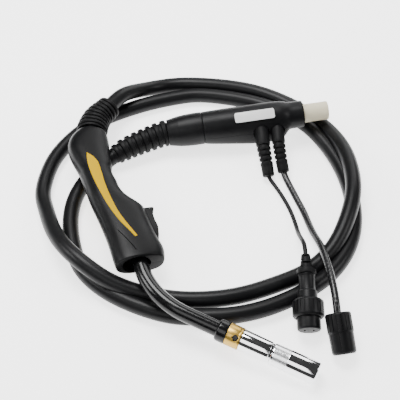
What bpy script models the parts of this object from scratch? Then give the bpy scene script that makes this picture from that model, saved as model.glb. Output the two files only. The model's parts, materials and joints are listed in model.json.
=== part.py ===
"""MIG welding torch, laid on a bench with its power cable in two loops.

It holds the gun (handle, trigger, swan neck and nozzle), the power cable, the machine-side
connector, and the control and gas leads with their plug and nut. Lengths are written in
millimetres and MM turns them into metres. +Z is up, and the origin is on the bench under the
middle of the gun. Each sub-assembly has its own frame, an empty, and its pieces are placed in it.
"""

import math

import bmesh
import bpy
import numpy as np
from mathutils import Matrix, Vector

MM = 0.001
BENCH = Vector((19.0, 91.6, 0.0))  # the middle of the cable's loops, seen from the origin

# Cable and leads
CABLE_R = 9.8
HANDLE_MOUTH = 31.5  # how far the cable runs inside the handle, to the face of its mouth
LEAD_R = 2.6
HOSE_R = 4.2

# Gun frame: +X forward along the handle, +Y towards the trigger, +Z out of the upper side
GUN_AT = (-66.0, -124.0, 35.02)
GUN_FORWARD = (0.284, -0.958, 0.0034)
GUN_UP = (0.150, 0.048, 0.987)
WALL = 2.6
# One row for each section of the handle: place, back edge, trigger edge, half thickness, and how
# far it leans forward for each millimetre towards the trigger
HANDLE = (
    (-212.6, -31.0, 6.0, 16.6, 0.25),
    (-204.0, -40.5, 6.2, 16.8, 0.22),
    (-194.0, -46.5, 5.5, 16.9, 0.15),
    (-183.0, -47.6, 4.0, 17.0, 0.07),
    (-168.0, -44.8, 1.5, 17.0, 0.0),
    (-150.0, -41.0, -1.0, 17.0, 0.0),
    (-126.0, -39.0, -1.2, 17.0, 0.0),
    (-104.0, -37.6, 2.5, 17.0, 0.0),
    (-94.0, -36.6, 9.0, 17.0, 0.0),
    (-85.0, -35.4, 18.0, 17.0, 0.0),
    (-76.0, -34.2, 23.0, 17.0, 0.0),
    (-45.0, -30.6, 25.0, 17.0, 0.0),
    (-26.0, -30.2, 28.0, 17.0, 0.0),
    (-14.0, -30.2, 31.0, 17.0, 0.0),
    (-2.0, -29.5, 28.0, 16.6, 0.0),
)
SIDES = 14  # points round each section
ROUND = 2.6  # power of the section's rounded rectangle

# Swan neck, in the gun's frame: straight out of the handle, a bend, straight to the nozzle
NECK_Y = -1.0
NECK_BEND_FROM = 6.0
NECK_BEND_R = 90.0
NECK_BEND = math.radians(49.6)
NECK_STRAIGHT = 50.3
JACKET_R = 9.0
NECK_TUBE_R = 5.5

# Nozzle frame: +Z forward out of the nozzle, +X as the gun's +Z
COLLAR_R = 12.5
SLEEVE_R = 12.0
CUP_R = 12.6
CUP_BORE_R = 9.8
COLLAR_END = 15.6
SLEEVE_END = 51.5
NOZZLE_END = 103.6
SCREW_TURN = math.radians(42)

# Trigger, in the gun's frame
PIVOT = (-34.0, 20.0)
TRIGGER_HALF = 7.0
SWITCH_X = -64.0

# Connector frame: +Z along the body towards the machine, +X up, +Y towards the two side leads
CONNECTOR_AT = (-19.5, 96.0, 26.0)
CONNECTOR_TILT = math.radians(4.5)
CONNECTOR_TURN = math.radians(7.0)
BODY_R = 21.0
NECK_END_R = 17.4
SHELL_FROM = 23.5
SHELL_TO = 154.8
CONTROL_Z = 96.5
GAS_Z = 117.7
CAP_R = 11.9
LABEL_TURN = math.radians(28)
CAP_TO = 187.4

# Ends of the control plug and the gas nut
PLUG_FROM = (119.4, -113.2, 38.6)
PLUG_TO = (119.2, -198.0, 14.2)
NUT_FROM = (149.0, -186.1, 31.2)
NUT_TO = (154.6, -221.2, 13.0)

# Routes, from the middle of the loops
CABLE_ROUTE = (
    (-137.2, 46.8, 37.5), (-138.5, 75.6, 36.6), (-137.3, 92.7, 36.5), (-132.4, 109.4, 36.2),
    (-123.4, 123.4, 35.8), (-106.0, 150.6, 34.4), (-87.0, 173.0, 24.0), (-65.0, 190.6, 13.5),
    (-39.0, 200.0, 10.1), (0.0, 201.0, 10.1), (69.0, 189.0, 10.1), (120.0, 162.0, 10.1),
    (158.0, 123.0, 14.0), (181.0, 76.0, 21.0), (188.0, 32.0, 27.5), (186.0, -12.0, 30.3),
    (174.0, -53.0, 26.0), (155.0, -88.0, 17.0), (127.0, -114.0, 11.0), (92.0, -132.0, 10.1),
    (45.0, -149.0, 10.1), (0.0, -155.0, 10.1), (-34.0, -153.3, 10.1), (-68.0, -148.0, 14.0),
    (-102.0, -138.0, 22.0), (-129.0, -122.0, 29.5), (-152.0, -100.0, 30.2), (-173.0, -66.0, 22.5),
    (-188.0, -25.0, 13.0), (-195.0, 2.0, 10.1), (-193.0, 34.0, 10.1), (-185.0, 64.0, 10.1),
    (-167.0, 96.0, 10.1), (-143.0, 123.0, 10.1), (-113.0, 143.0, 10.1), (-68.0, 163.5, 10.1),
    (-30.0, 175.0, 10.1), (0.0, 179.0, 10.1), (55.0, 170.0, 10.1), (95.0, 155.5, 10.1),
    (132.0, 131.0, 10.1), (158.0, 97.0, 10.1), (178.0, 50.0, 10.1), (188.0, -9.0, 10.1),
    (182.0, -63.0, 10.1), (163.0, -103.0, 10.1), (137.0, -131.0, 10.1), (101.0, -154.0, 10.1),
    (67.0, -168.5, 10.1), (33.0, -176.0, 10.1), (0.0, -177.5, 10.1), (-33.0, -175.3, 10.1),
    (-79.0, -159.0, 10.1), (-113.0, -138.0, 10.1), (-137.0, -112.0, 10.1), (-149.0, -83.0, 10.1),
    (-156.0, -48.0, 10.1), (-156.0, -17.0, 10.1), (-150.0, 8.0, 10.1), (-137.0, 34.0, 10.1),
    (-126.8, 46.6, 10.0), (-116.0, 56.2, 13.4), (-96.0, 69.8, 18.2), (-71.0, 82.7, 21.1),
    (-45.2, 92.8, 24.0), (-31.4, 94.6, 25.06), (-15.6, 96.4, 26.3),
)
CONTROL_BOOT_ROUTE = (
    (77.8, 98, 33.5), (79.2, 84, 32.5), (80.5, 70, 28.5), (82.5, 57.5, 22.5), (85, 45, 15), (87, 32.5, 8),
)
GAS_BOOT_ROUTE = ((98.8, 102, 35), (99.6, 87, 33), (100.8, 70, 27.5), (103.4, 54, 17.5), (106.5, 39, 8.5))
CONTROL_ROUTE = (
    (85, 45, 15), (87, 32.5, 8), (91, 26, 4.8), (99.5, 11, 2.9), (110.5, -17, 2.9), (115.2, -38, 4.5),
    (116.8, -58, 11.5), (117.3, -76, 24), (118.2, -92, 36), (119.1, -103, 39.9), (119.4, -113.2, 38.6),
    (119.38, -120, 36.65), (119.36, -128, 34.34),
)
GAS_ROUTE = (
    (103.4, 54, 17.5), (106.5, 39, 8.5), (110, 28, 5.4), (115, 14, 4.5), (120, -1, 4.5),
    (127, -22, 4.7), (131, -41, 7.5), (135, -66, 16), (139.5, -91.5, 27.8), (143, -116, 34.2),
    (146, -143, 36.8), (148, -170, 35.8), (149, -186.1, 31.2), (150.6, -196, 26.1),
)

assembly = bpy.data.collections.new("mig_welding_torch")
cutters = bpy.data.collections.new("cutters")


# ------------------------------------------------------------------ helpers


def clear_scene():
    for obj in list(bpy.data.objects):
        bpy.data.objects.remove(obj, do_unlink=True)
    bpy.context.scene.collection.children.link(assembly)
    bpy.context.scene.collection.children.link(cutters)
    cutters.hide_render = True


def material(name, colour, roughness, metallic=0.0):
    mat = bpy.data.materials.new(name)
    mat.use_nodes = True
    shader = mat.node_tree.nodes["Principled BSDF"]
    shader.inputs["Base Color"].default_value = (*colour, 1.0)
    shader.inputs["Roughness"].default_value = roughness
    shader.inputs["Metallic"].default_value = metallic
    return mat


def frame(name, at, z_axis, x_hint, parent=None):
    """An empty at a place (mm), with its +Z along z_axis and its +X as near x_hint as it can be."""
    z = Vector(z_axis).normalized()
    x = Vector(x_hint)
    x = (x - z * x.dot(z)).normalized()
    y = z.cross(x)
    empty = bpy.data.objects.new(name, None)
    assembly.objects.link(empty)
    turn = Matrix((x, y, z)).transposed().to_4x4()
    empty.matrix_world = Matrix.Translation(Vector(at) * MM) @ turn
    empty.parent = parent
    return empty


def place(obj, mat, holder, at=(0, 0, 0), turn=None, cutter=False):
    (cutters if cutter else assembly).objects.link(obj)
    obj.parent = holder
    obj.matrix_local = Matrix.Translation(Vector(at) * MM) @ (turn or Matrix())
    if cutter:
        obj.hide_render = True
        obj.display_type = "WIRE"
    elif mat:
        obj.data.materials.append(mat)
    return obj


def finish(mesh, angle=40):
    mesh.shade_smooth()
    mesh.set_sharp_from_angle(angle=math.radians(angle))


def turned(name, mat, holder, outer, bore=(), steps=16, at=(0, 0, 0), turn=None, cutter=False):
    """A turned piece round its own Z: outer is (z, r) from the top down, bore from the bottom up."""
    points = [(r, z) for z, r in outer]
    if bore:
        points += [(r, z) for z, r in bore]
    else:
        points = [(0.0, points[0][1])] + points + [(0.0, points[-1][1])]
    mesh = bpy.data.meshes.new(name)
    count = len(points)
    edges = [(i, i + 1) for i in range(count - 1)] + ([(count - 1, 0)] if bore else [])
    mesh.from_pydata([(r * MM, 0.0, z * MM) for r, z in points], edges, [])
    obj = bpy.data.objects.new(name, mesh)
    screw = obj.modifiers.new("turn", "SCREW")
    screw.axis = "Z"
    screw.steps = screw.render_steps = steps
    screw.use_merge_vertices = True
    screw.merge_threshold = 1e-5
    screw.use_smooth_shade = True
    return place(obj, mat, holder, at, turn, cutter)


def loft(name, mat, holder, rings, hollow=False, cutter=False):
    """A closed body through rings of equal length. A hollow one joins its last ring to its first."""
    bm = bmesh.new()
    loops = [[bm.verts.new(Vector(p) * MM) for p in ring] for ring in rings]
    pairs = list(zip(loops, loops[1:])) + ([(loops[-1], loops[0])] if hollow else [])
    for first, second in pairs:
        for i in range(len(first)):
            j = (i + 1) % len(first)
            bm.faces.new((first[i], first[j], second[j], second[i]))
    if not hollow:
        bm.faces.new(loops[0][::-1])
        bm.faces.new(loops[-1])
    bmesh.ops.recalc_face_normals(bm, faces=bm.faces)
    mesh = bpy.data.meshes.new(name)
    bm.to_mesh(mesh)
    bm.free()
    finish(mesh)
    return place(bpy.data.objects.new(name, mesh), mat, holder, cutter=cutter)


def prism(name, mat, holder, outline, low, high, cutter=False):
    """A flat outline in the holder's XY, from low to high along its Z."""
    bm = bmesh.new()
    face = bm.faces.new([bm.verts.new((x * MM, y * MM, low * MM)) for x, y in outline])
    grown = bmesh.ops.extrude_face_region(bm, geom=[face])
    moved = [v for v in grown["geom"] if isinstance(v, bmesh.types.BMVert)]
    bmesh.ops.translate(bm, verts=moved, vec=(0, 0, (high - low) * MM))
    bmesh.ops.recalc_face_normals(bm, faces=bm.faces)
    mesh = bpy.data.meshes.new(name)
    bm.to_mesh(mesh)
    bm.free()
    return place(bpy.data.objects.new(name, mesh), mat, holder, cutter=cutter)


def box(name, mat, holder, low, high, cutter=False, bevel=0.0, turn=None):
    """A box between two corners, turned round the holder's origin when turn is given."""
    bm = bmesh.new()
    size = [(b - a) * MM for a, b in zip(low, high)]
    middle = (Vector(low) + Vector(high)) / 2
    if turn:
        middle = turn @ middle
    bmesh.ops.create_cube(bm, size=1.0, matrix=Matrix.Diagonal((*size, 1.0)))
    mesh = bpy.data.meshes.new(name)
    bm.to_mesh(mesh)
    bm.free()
    obj = place(bpy.data.objects.new(name, mesh), mat, holder, middle, turn, cutter)
    if bevel:
        rounded = obj.modifiers.new("edges", "BEVEL")
        rounded.width = bevel * MM
        rounded.segments = 2
    return obj


def rod(name, mat, holder, centre, radius, length, axis="Z", sides=16, cutter=False, cone=None):
    """A round rod centred at a place, along one of the holder's axes."""
    bm = bmesh.new()
    bmesh.ops.create_cone(
        bm, cap_ends=True, segments=sides, radius1=radius * MM,
        radius2=(radius if cone is None else cone) * MM, depth=length * MM,
    )
    mesh = bpy.data.meshes.new(name)
    bm.to_mesh(mesh)
    bm.free()
    finish(mesh)
    turns = {
        "Z": Matrix(),
        "X": Matrix.Rotation(math.radians(90), 4, "Y"),
        "Y": Matrix.Rotation(math.radians(-90), 4, "X"),
    }
    obj = bpy.data.objects.new(name, mesh)
    return place(obj, mat, holder, centre, turns[axis], cutter)


def combine(obj, other, operation="DIFFERENCE"):
    step = obj.modifiers.new(other.name, "BOOLEAN")
    step.operation = operation
    step.solver = "EXACT"
    step.object = other
    return obj


def smooth_route(route, step=3.0):
    """A natural cubic spline through the route's points, as points about step apart."""
    p = np.array(route, float)
    h = np.linalg.norm(np.diff(p, axis=0), axis=1) ** 0.5
    count = len(p)
    system = np.eye(count)
    right = np.zeros((count, 3))
    for i in range(1, count - 1):
        system[i, i - 1 : i + 2] = h[i - 1], 2 * (h[i - 1] + h[i]), h[i]
        right[i] = 6 * ((p[i + 1] - p[i]) / h[i] - (p[i] - p[i - 1]) / h[i - 1])
    bend = np.linalg.solve(system, right)
    line = []
    for i in range(count - 1):
        pieces = max(2, int(np.linalg.norm(p[i + 1] - p[i]) / step))
        slope = (p[i + 1] - p[i]) / h[i] - h[i] * (2 * bend[i] + bend[i + 1]) / 6
        for s in np.linspace(0, h[i], pieces, endpoint=False):
            line.append(p[i] + slope * s + bend[i] / 2 * s * s + (bend[i + 1] - bend[i]) / (6 * h[i]) * s**3)
    line.append(p[-1])
    return [Vector(q) for q in line]


def thinned(line, reach, turn=math.radians(13)):
    """The line's points that matter: one at least every reach, and one wherever it has turned."""
    kept = [line[0]]
    heading = (line[1] - line[0]).normalized()
    for before, point, after in zip(line, line[1:], line[2:]):
        ahead = (after - point).normalized()
        if (point - kept[-1]).length >= reach or ahead.angle(heading, 0.0) > turn:
            kept.append(point)
            heading = ahead
    if (line[-1] - kept[-1]).length < reach / 4 and len(kept) > 2:
        kept.pop()
    return kept + [line[-1]]


def tube(name, mat, points, radius, resolution=3, holder=None):
    """A plain round tube along points, as a curve with a bevel."""
    curve = bpy.data.curves.new(name, "CURVE")
    curve.dimensions = "3D"
    curve.bevel_depth = radius * MM
    curve.bevel_resolution = resolution
    curve.use_fill_caps = True
    spline = curve.splines.new("POLY")
    spline.points.add(len(points) - 1)
    for target, point in zip(spline.points, points):
        target.co = (*(Vector(point) * MM), 1.0)
    return place(bpy.data.objects.new(name, curve), mat, holder)


def rings_along(points, radii, sides=12):
    """Rings square to a path, turned as little as possible from one to the next."""
    points = [Vector(p) for p in points]
    rings = []
    across = None
    for i, (point, radius) in enumerate(zip(points, radii)):
        along = (points[min(i + 1, len(points) - 1)] - points[max(i - 1, 0)]).normalized()
        across = along.orthogonal() if across is None else across - along * across.dot(along)
        across.normalize()
        side = along.cross(across)
        turns = [2 * math.pi * k / sides for k in range(sides)]
        rings.append([point + (across * math.cos(a) + side * math.sin(a)) * radius for a in turns])
    return rings


def sleeve(name, mat, points, radii, bore, holder=None, sides=12, flat=None):
    """A hollow sleeve along a path, with an outer radius for each point, a tenth wider across flat."""
    outer = rings_along(points, radii, sides)
    if flat:
        for i, ring in enumerate(outer):
            along = Vector(points[min(i + 1, len(points) - 1)]) - Vector(points[i - 1 if i else 0])
            wide = along.cross(Vector(flat)).normalized()
            share = 0.1 if radii[i] > 16.5 else 0.0
            outer[i] = [p + wide * (p - points[i]).dot(wide) * share for p in ring]
    inner = outer_to_bore(points, outer, radii, bore)
    return loft(name, mat, holder, outer + inner[::-1], hollow=True)


def outer_to_bore(points, outer, radii, bore, apart=8.0):
    """The rings of a sleeve's bore, from those of its outside: the ends, and one every apart mm."""
    kept = [0]
    for i in range(1, len(points) - 1):
        if (points[i] - points[kept[-1]]).length >= apart:
            kept.append(i)
    kept.append(len(points) - 1)
    return [[points[i] + (p - points[i]) * bore / radii[i] for p in outer[i]] for i in kept]


def ribbed(line, start, step, ribs, root, tip, groove, swell=1.0):
    """Points and radii of ribs along a smooth line, from an arc length start."""
    travelled = arc_lengths(line)
    points, radii = [], []
    for k in range(ribs):
        radius = root + (tip - root) * (k / max(1, ribs - 1)) ** swell
        for share, size in ((0.1, radius - groove), (0.55, radius)):
            points.append(point_at(line, travelled, start + (k + share) * step))
            radii.append(size)
    return points, radii


def arc_lengths(line):
    travelled = [0.0]
    for a, b in zip(line, line[1:]):
        travelled.append(travelled[-1] + (b - a).length)
    return travelled


def point_at(line, travelled, where):
    for a, b, from_, to in zip(line, line[1:], travelled, travelled[1:]):
        if where <= to:
            return a.lerp(b, max(0.0, where - from_) / max(1e-9, to - from_))
    return line[-1]


def on_bench(points):
    return [Vector(p) + BENCH for p in points]


# ------------------------------------------------------------------ materials

rubber = material("moulded_black", (0.025, 0.026, 0.028), 0.5)
jacket = material("cable_jacket", (0.03, 0.031, 0.033), 0.42)
gloss = material("gloss_black", (0.012, 0.012, 0.013), 0.18)
yellow = material("yellow_trim", (0.95, 0.55, 0.02), 0.4)
chrome = material("chrome", (0.85, 0.85, 0.87), 0.08, 1.0)
brass = material("brass", (0.75, 0.53, 0.22), 0.28, 1.0)
copper = material("copper", (0.78, 0.38, 0.22), 0.3, 1.0)
steel = material("steel", (0.45, 0.46, 0.48), 0.35, 1.0)
ceramic = material("insulator", (0.72, 0.55, 0.38), 0.6)
ivory = material("ivory_plastic", (0.86, 0.84, 0.74), 0.45)
white = material("white_plate", (0.88, 0.88, 0.88), 0.4)


# ------------------------------------------------------------------ handle


def handle_ring(x, back, front, half, lean, inset, sides):
    """One section of the handle: a rounded rectangle in the gun's YZ."""
    middle, wide, thick = (back + front) / 2, (front - back) / 2 - inset, half - inset
    ring = []
    for k in range(sides):
        a = 2 * math.pi * (k + 0.5) / sides
        c, s = math.cos(a), math.sin(a)
        across = wide * math.copysign(abs(c) ** (2 / ROUND), c)
        ring.append((x + lean * across, middle + across, thick * math.copysign(abs(s) ** (2 / ROUND), s)))
    return ring


def handle_body(name, gun, inset, first=0.0, last=0.0, cutter=True, sides=SIDES):
    rows = [list(row) for row in HANDLE]
    rows[0][0] += first
    rows[-1][0] -= last
    return loft(name, rubber, gun, [handle_ring(*row, inset, sides) for row in rows], cutter=cutter)


SCREWS = ((-178.0, -39.5), (-112.0, -31.6), (-62.0, -24.0), (-17.0, 20.5))
SCREW_HEAD_R = 3.0
INLAY = (
    (-168.0, -29.0), (-160.0, -22.5), (-150.0, -18.5), (-135.0, -18.0), (-115.0, -18.0),
    (-91.0, -16.0), (-63.0, -11.0), (-29.0, 0.8), (-28.0, -2.0), (-36.0, -5.5), (-56.0, -14.5),
    (-82.0, -22.0), (-107.0, -27.0), (-129.0, -30.0), (-151.0, -31.0),
)


def grown_outline(outline, by):
    """The outline moved outwards by a small amount, corner by corner."""
    points = [Vector((*p, 0.0)) for p in outline]
    area = sum(a.x * b.y - b.x * a.y for a, b in zip(points, points[1:] + points[:1]))
    out = []
    for before, point, after in zip(points[-1:] + points[:-1], points, points[1:] + points[:1]):
        heading = (point - before).normalized() + (after - point).normalized()
        normal = Vector((heading.y, -heading.x, 0.0)) * (1 if area > 0 else -1)
        out.append(tuple((point + normal * 2 * by / heading.length_squared)[:2]))
    return out


def handle_shells(gun):
    hollow = handle_body("handle_hollow", gun, WALL, 3.0, 3.4, sides=10)
    under_skin = handle_body("inlay_floor", gun, 1.9)
    above_skin = handle_body("inlay_skin", gun, -0.35)
    for side, name in ((1, "handle_shell_left"), (-1, "handle_shell_right")):
        shell = handle_body(name, gun, 0.0, cutter=False)
        combine(shell, hollow)
        # bosses for the screws and the trigger's pin
        for k, (x, y) in enumerate(SCREWS):
            low, high = (0.0, 16.2) if side > 0 else (-16.2, 0.0)
            middle = (x, y, (low + high) / 2)
            boss = rod(f"boss_{name}_{k}", None, gun, middle, 4.0, 16.2, sides=8, cutter=True)
            combine(shell, boss, "UNION")
        pin_boss = rod(
            f"pin_boss_{name}", None, gun, (*PIVOT, side * 12.0), 3.6, 8.4, sides=8, cutter=True
        )
        combine(shell, pin_boss, "UNION")
        # the other half, the parting gap, and the openings
        keep_out = box(f"half_{name}", None, gun, *((-230, -60, -30), (10, 50, 0.15)) if side > 0
                       else ((-230, -60, -0.15), (10, 50, 30)), cutter=True)
        combine(shell, keep_out)
        for opening in (front_mouth, rear_mouth, trigger_slot, pin_hole, *screw_holes[side]):
            combine(shell, opening)
        # the recess for the yellow inlay
        low, high = (8.0, 24.0) if side > 0 else (-24.0, -8.0)
        pocket = prism(f"pocket_{name}", None, gun, grown_outline(INLAY, 0.3), low, high, cutter=True)
        combine(pocket, under_skin)
        combine(shell, pocket)
        inlay = prism(name.replace("handle_shell", "yellow_inlay"), yellow, gun, INLAY, low, high)
        combine(inlay, above_skin, "INTERSECT")
        combine(inlay, inlay_base)


clear_scene()
gun = frame("gun_frame", tuple(Vector(GUN_AT) + BENCH), GUN_UP, GUN_FORWARD)

inlay_base = handle_body("inlay_base", gun, 1.1)
front_mouth = rod("front_mouth", None, gun, (0.0, NECK_Y, 0.0), 9.6, 16.0, "X", 16, cutter=True)
cable_line = smooth_route(on_bench(CABLE_ROUTE))
cable_arc = arc_lengths(cable_line)
mouth = point_at(cable_line, cable_arc, HANDLE_MOUTH)
before_mouth = point_at(cable_line, cable_arc, HANDLE_MOUTH - 4.0)
mouth_frame = frame("mouth_frame", tuple(mouth), mouth - before_mouth, GUN_UP)
rear_mouth = rod("rear_mouth", None, mouth_frame, (0, 0, 0), 14.6, 16.0, "Z", 16, cutter=True)
trigger_slot = box("trigger_slot", None, gun, (-78.6, 14.0, -8.0), (-28.4, 45.0, 8.0), cutter=True)
pin_hole = rod("pin_hole", None, gun, (*PIVOT, 0.0), 1.9, 28.6, sides=8, cutter=True)
screw_holes = {1: [], -1: []}
for number, (screw_x, screw_y) in enumerate(SCREWS):
    screw_holes[1].append(
        rod(f"pilot_{number}", None, gun, (screw_x, screw_y, 4.5), 1.8, 11.0, sides=8, cutter=True)
    )
    screw_holes[-1] += [
        rod(f"shank_hole_{number}", None, gun, (screw_x, screw_y, -10.0), 1.8, 24.0, sides=8, cutter=True),
        rod(f"head_hole_{number}", None, gun, (screw_x, screw_y, -14.0), 3.4, 14.0, sides=10, cutter=True),
    ]
handle_shells(gun)


def handle_screws():
    for number, (x, y) in enumerate(SCREWS):
        screw = turned(
            f"handle_screw_{number + 1}", steel, gun,
            ((7.5, 1.45), (-7.3, 1.45), (-7.3, SCREW_HEAD_R), (-9.6, SCREW_HEAD_R)), steps=16, at=(x, y, 0),
        )
        low, high = (x - 0.9, y - 0.9, -11.0), (x + 0.9, y + 0.9, -8.4)
        combine(screw, box(f"recess_{number}", None, gun, low, high, cutter=True))


handle_screws()


# ------------------------------------------------------------------ trigger and switch


def trigger_parts():
    pivot = frame(
        "trigger_frame", gun.matrix_world @ (Vector((*PIVOT, 0)) * MM) / MM, GUN_UP, GUN_FORWARD
    )
    outline = (
        (-43.4, -1.4), (-43.4, 12.6), (-41.5, 13.0), (-33.0, 10.4), (-22.0, 10.2), (-12.0, 11.0),
        (-2.0, 9.6), (5.0, 7.6), (5.0, -3.2), (-4.5, -3.2), (-8.0, -1.4),
    )
    lever = prism("trigger", rubber, pivot, outline, -TRIGGER_HALF, TRIGGER_HALF)
    hole = rod("trigger_eye", None, pivot, (0, 0, 0), 1.9, 30.0, sides=8, cutter=True)
    combine(lever, hole)
    rod("trigger_pin", steel, gun, (*PIVOT, 0), 1.5, 27.6, sides=12)
    switch = box("micro_switch", gloss, gun, (-67.0, 4.6, -3.2), (-47.0, 14.2, 3.2))
    combine(switch, rod("plunger_hole", None, gun, (SWITCH_X, 14.0, 0), 1.9, 14.0, "Y", 8, cutter=True))
    rod("switch_plunger", ceramic, gun, (SWITCH_X, 14.0, 0), 1.4, 8.4, "Y", 12)
    for number, z in ((1, 1.8), (2, -1.8)):
        path = [
            (-183.0, -6.9, 1.7 * z), (-172.0, -6.6, 2 * z), (-150.0, -7.0, 2 * z),
            (-118.0, -7.0, 2 * z), (-100.0, -5.0, 2 * z), (-84.0, 4.0, 2 * z), (-75.0, 9.0, z),
            (-67.6, 9.6, z),
        ]
        tube(f"switch_wire_{number}", copper, path, 0.8, 2, gun)


trigger_parts()


# ------------------------------------------------------------------ swan neck


def neck_line(start_x):
    """The neck's middle line in the gun's frame, from a place inside the handle to the nozzle."""
    line = [Vector((x, NECK_Y, 0.0)) for x in np.arange(start_x, NECK_BEND_FROM, 12.0)]
    for k in range(7):
        a = NECK_BEND * k / 6
        line.append(Vector((
            NECK_BEND_FROM + NECK_BEND_R * math.sin(a),
            NECK_Y + NECK_BEND_R * (1 - math.cos(a)),
            0.0,
        )))
    ahead = Vector((math.cos(NECK_BEND), math.sin(NECK_BEND), 0.0))
    return line, ahead


def neck_parts():
    line, ahead = neck_line(-30.0)
    nozzle_at = line[-1] + ahead * NECK_STRAIGHT
    outer = line + [nozzle_at - ahead * 0.6]
    sleeve("neck_jacket", gloss, outer, [JACKET_R] * len(outer), NECK_TUBE_R + 0.6, gun, 12)
    inside = [
        Vector(p)
        for p in ((-117.6, -21.5, 0), (-104, -19.2, 0), (-88, -13.0, 0), (-70, -6.2, 0), (-50, -1.9, 0))
    ]
    core = inside + line + [nozzle_at + ahead * 8.0]
    sleeve("neck_tube", copper, core, [NECK_TUBE_R] * len(core), 2.6, gun, 8)
    liner = inside + line + [nozzle_at + ahead * 7.6]
    sleeve("neck_liner", steel, liner, [1.9] * len(liner), 0.9, gun, 6)
    low, high = (-27.0, NECK_Y - 11.5, -11.5), (-6.2, NECK_Y + 11.5, 11.5)
    block = box("neck_clamp_block", brass, gun, low, high, bevel=1.5)
    combine(block, rod("clamp_bore", None, gun, (-16.0, NECK_Y, 0), 9.4, 40.0, "X", 16, cutter=True))
    return nozzle_at, ahead


nozzle_at, nozzle_ahead = neck_parts()
to_world = gun.matrix_world.to_3x3()
nozzle = frame(
    "nozzle_frame", (gun.matrix_world @ (nozzle_at * MM)) / MM, to_world @ nozzle_ahead, GUN_UP
)


# ------------------------------------------------------------------ nozzle


def nozzle_parts():
    turned(
        "neck_bush", rubber, nozzle,
        ((-0.3, 12.75), (-10.5, 12.75), (-12.0, 11.6)),
        ((-12.0, 9.4), (-0.3, 9.4)),
    )
    collar = turned(
        "brass_collar", brass, nozzle,
        ((COLLAR_END, COLLAR_R - 0.4), (COLLAR_END - 0.4, COLLAR_R), (0.4, COLLAR_R), (0.0, COLLAR_R - 0.4)),
        ((0.0, 5.9), (7.4, 5.9), (7.4, 6.4), (13.8, 6.4), (13.8, 11.3), (COLLAR_END, 11.3)),
    )
    about = Matrix.Rotation(SCREW_TURN, 4, "Z")
    screw_frame = frame(
        "set_screw_frame",
        (nozzle.matrix_world @ (Vector((0, 0, 10.0)) * MM)) / MM,
        nozzle.matrix_world.to_3x3() @ (about @ Vector((1, 0, 0))),
        nozzle.matrix_world.to_3x3() @ Vector((0, 0, 1)),
    )
    combine(collar, rod("set_screw_hole", None, screw_frame, (0, 0, 10.0), 3.5, 9.0, sides=16, cutter=True))
    screw = rod("collar_set_screw", gloss, screw_frame, (0, 0, 9.0), 3.1, 4.6, sides=16)
    combine(screw, rod("hex_socket", None, screw_frame, (0, 0, 11.0), 1.6, 3.4, sides=6, cutter=True))
    turned(
        "nozzle_sleeve", chrome, nozzle,
        ((SLEEVE_END, 11.0), (SLEEVE_END - 2.4, 11.0), (SLEEVE_END - 2.6, SLEEVE_R),
         (COLLAR_END + 0.3, SLEEVE_R), (COLLAR_END + 0.3, 11.0), (14.1, 11.0)),
        ((14.1, 9.9), (SLEEVE_END, 9.9)), 16,
    )
    turned(
        "nozzle_cup", chrome, nozzle,
        ((NOZZLE_END, CUP_R - 1.0), (NOZZLE_END - 1.0, CUP_R), (SLEEVE_END + 18.5, CUP_R - 0.2),
         (SLEEVE_END + 18.2, 12.2), (SLEEVE_END + 0.3, 12.2)),
        ((SLEEVE_END + 0.3, CUP_BORE_R), (NOZZLE_END, CUP_BORE_R)), 16,
    )
    turned("nozzle_insulator", ceramic, nozzle, ((32.0, 9.5), (14.2, 9.5)), ((14.2, 6.4), (32.0, 6.4)))
    turned("tip_holder", brass, nozzle, ((44.0, 6.0), (8.4, 6.0)), ((8.4, 1.6), (44.0, 1.6)))
    diffuser = turned(
        "gas_diffuser", ceramic, nozzle, ((46.0, 9.4), (34.0, 9.4)), ((34.0, 6.4), (46.0, 6.4))
    )
    for k in range(6):
        a = 2 * math.pi * k / 6
        port_at = (7.9 * math.cos(a), 7.9 * math.sin(a), 40.0)
        combine(diffuser, rod(f"gas_port_{k}", None, nozzle, port_at, 0.8, 20.0, sides=8, cutter=True))
    turned(
        "contact_tip", copper, nozzle,
        ((98.6, 2.2), (92.0, 4.0), (50.0, 4.0), (50.0, 5.0), (44.4, 5.0)),
        ((44.4, 0.7), (98.6, 0.7)),
    )


nozzle_parts()


# ------------------------------------------------------------------ power cable and its boots


def cable_parts():
    line, travelled = cable_line, cable_arc
    whole = travelled[-1]
    gun_boot_at = HANDLE_MOUTH - 7.0
    gun_boot_long = 62.0
    rear_boot_at = whole - 106.0
    # the cable's points: close together in the boots, further apart on the bench
    stations = list(np.arange(0.0, gun_boot_at + gun_boot_long + 8.0, 9.0))
    free = thinned([p for p, t in zip(line, travelled) if stations[-1] + 14 < t < rear_boot_at - 14], 44.0)
    tail = list(np.arange(rear_boot_at, whole + 0.1, (whole - rear_boot_at) / 8))
    points = [point_at(line, travelled, t) for t in stations] + free
    points += [point_at(line, travelled, t) for t in tail]
    tube("power_cable", jacket, points, CABLE_R, 2)

    bore = CABLE_R + 0.9
    plug = [point_at(line, travelled, t) for t in (gun_boot_at, gun_boot_at + 11.2, gun_boot_at + 11.2)]
    ribs, radii = ribbed(line, gun_boot_at + 11.7, 6.4, 8, 18.0, 15.2, 1.6)
    sleeve("handle_boot", rubber, plug + ribs, [14.0, 14.0, 17.6] + radii, bore, sides=12, flat=GUN_UP)

    ribs, radii = ribbed(line, rear_boot_at + 2.0, 9.5, 8, 13.1, 17.0, 2.3, swell=0.5)
    plug = [point_at(line, travelled, t) for t in (rear_boot_at + 79.4, rear_boot_at + 96.0)]
    sleeve("rear_boot", rubber, ribs + plug, radii + [13.0, 13.0], bore, sides=12)


cable_parts()


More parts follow.
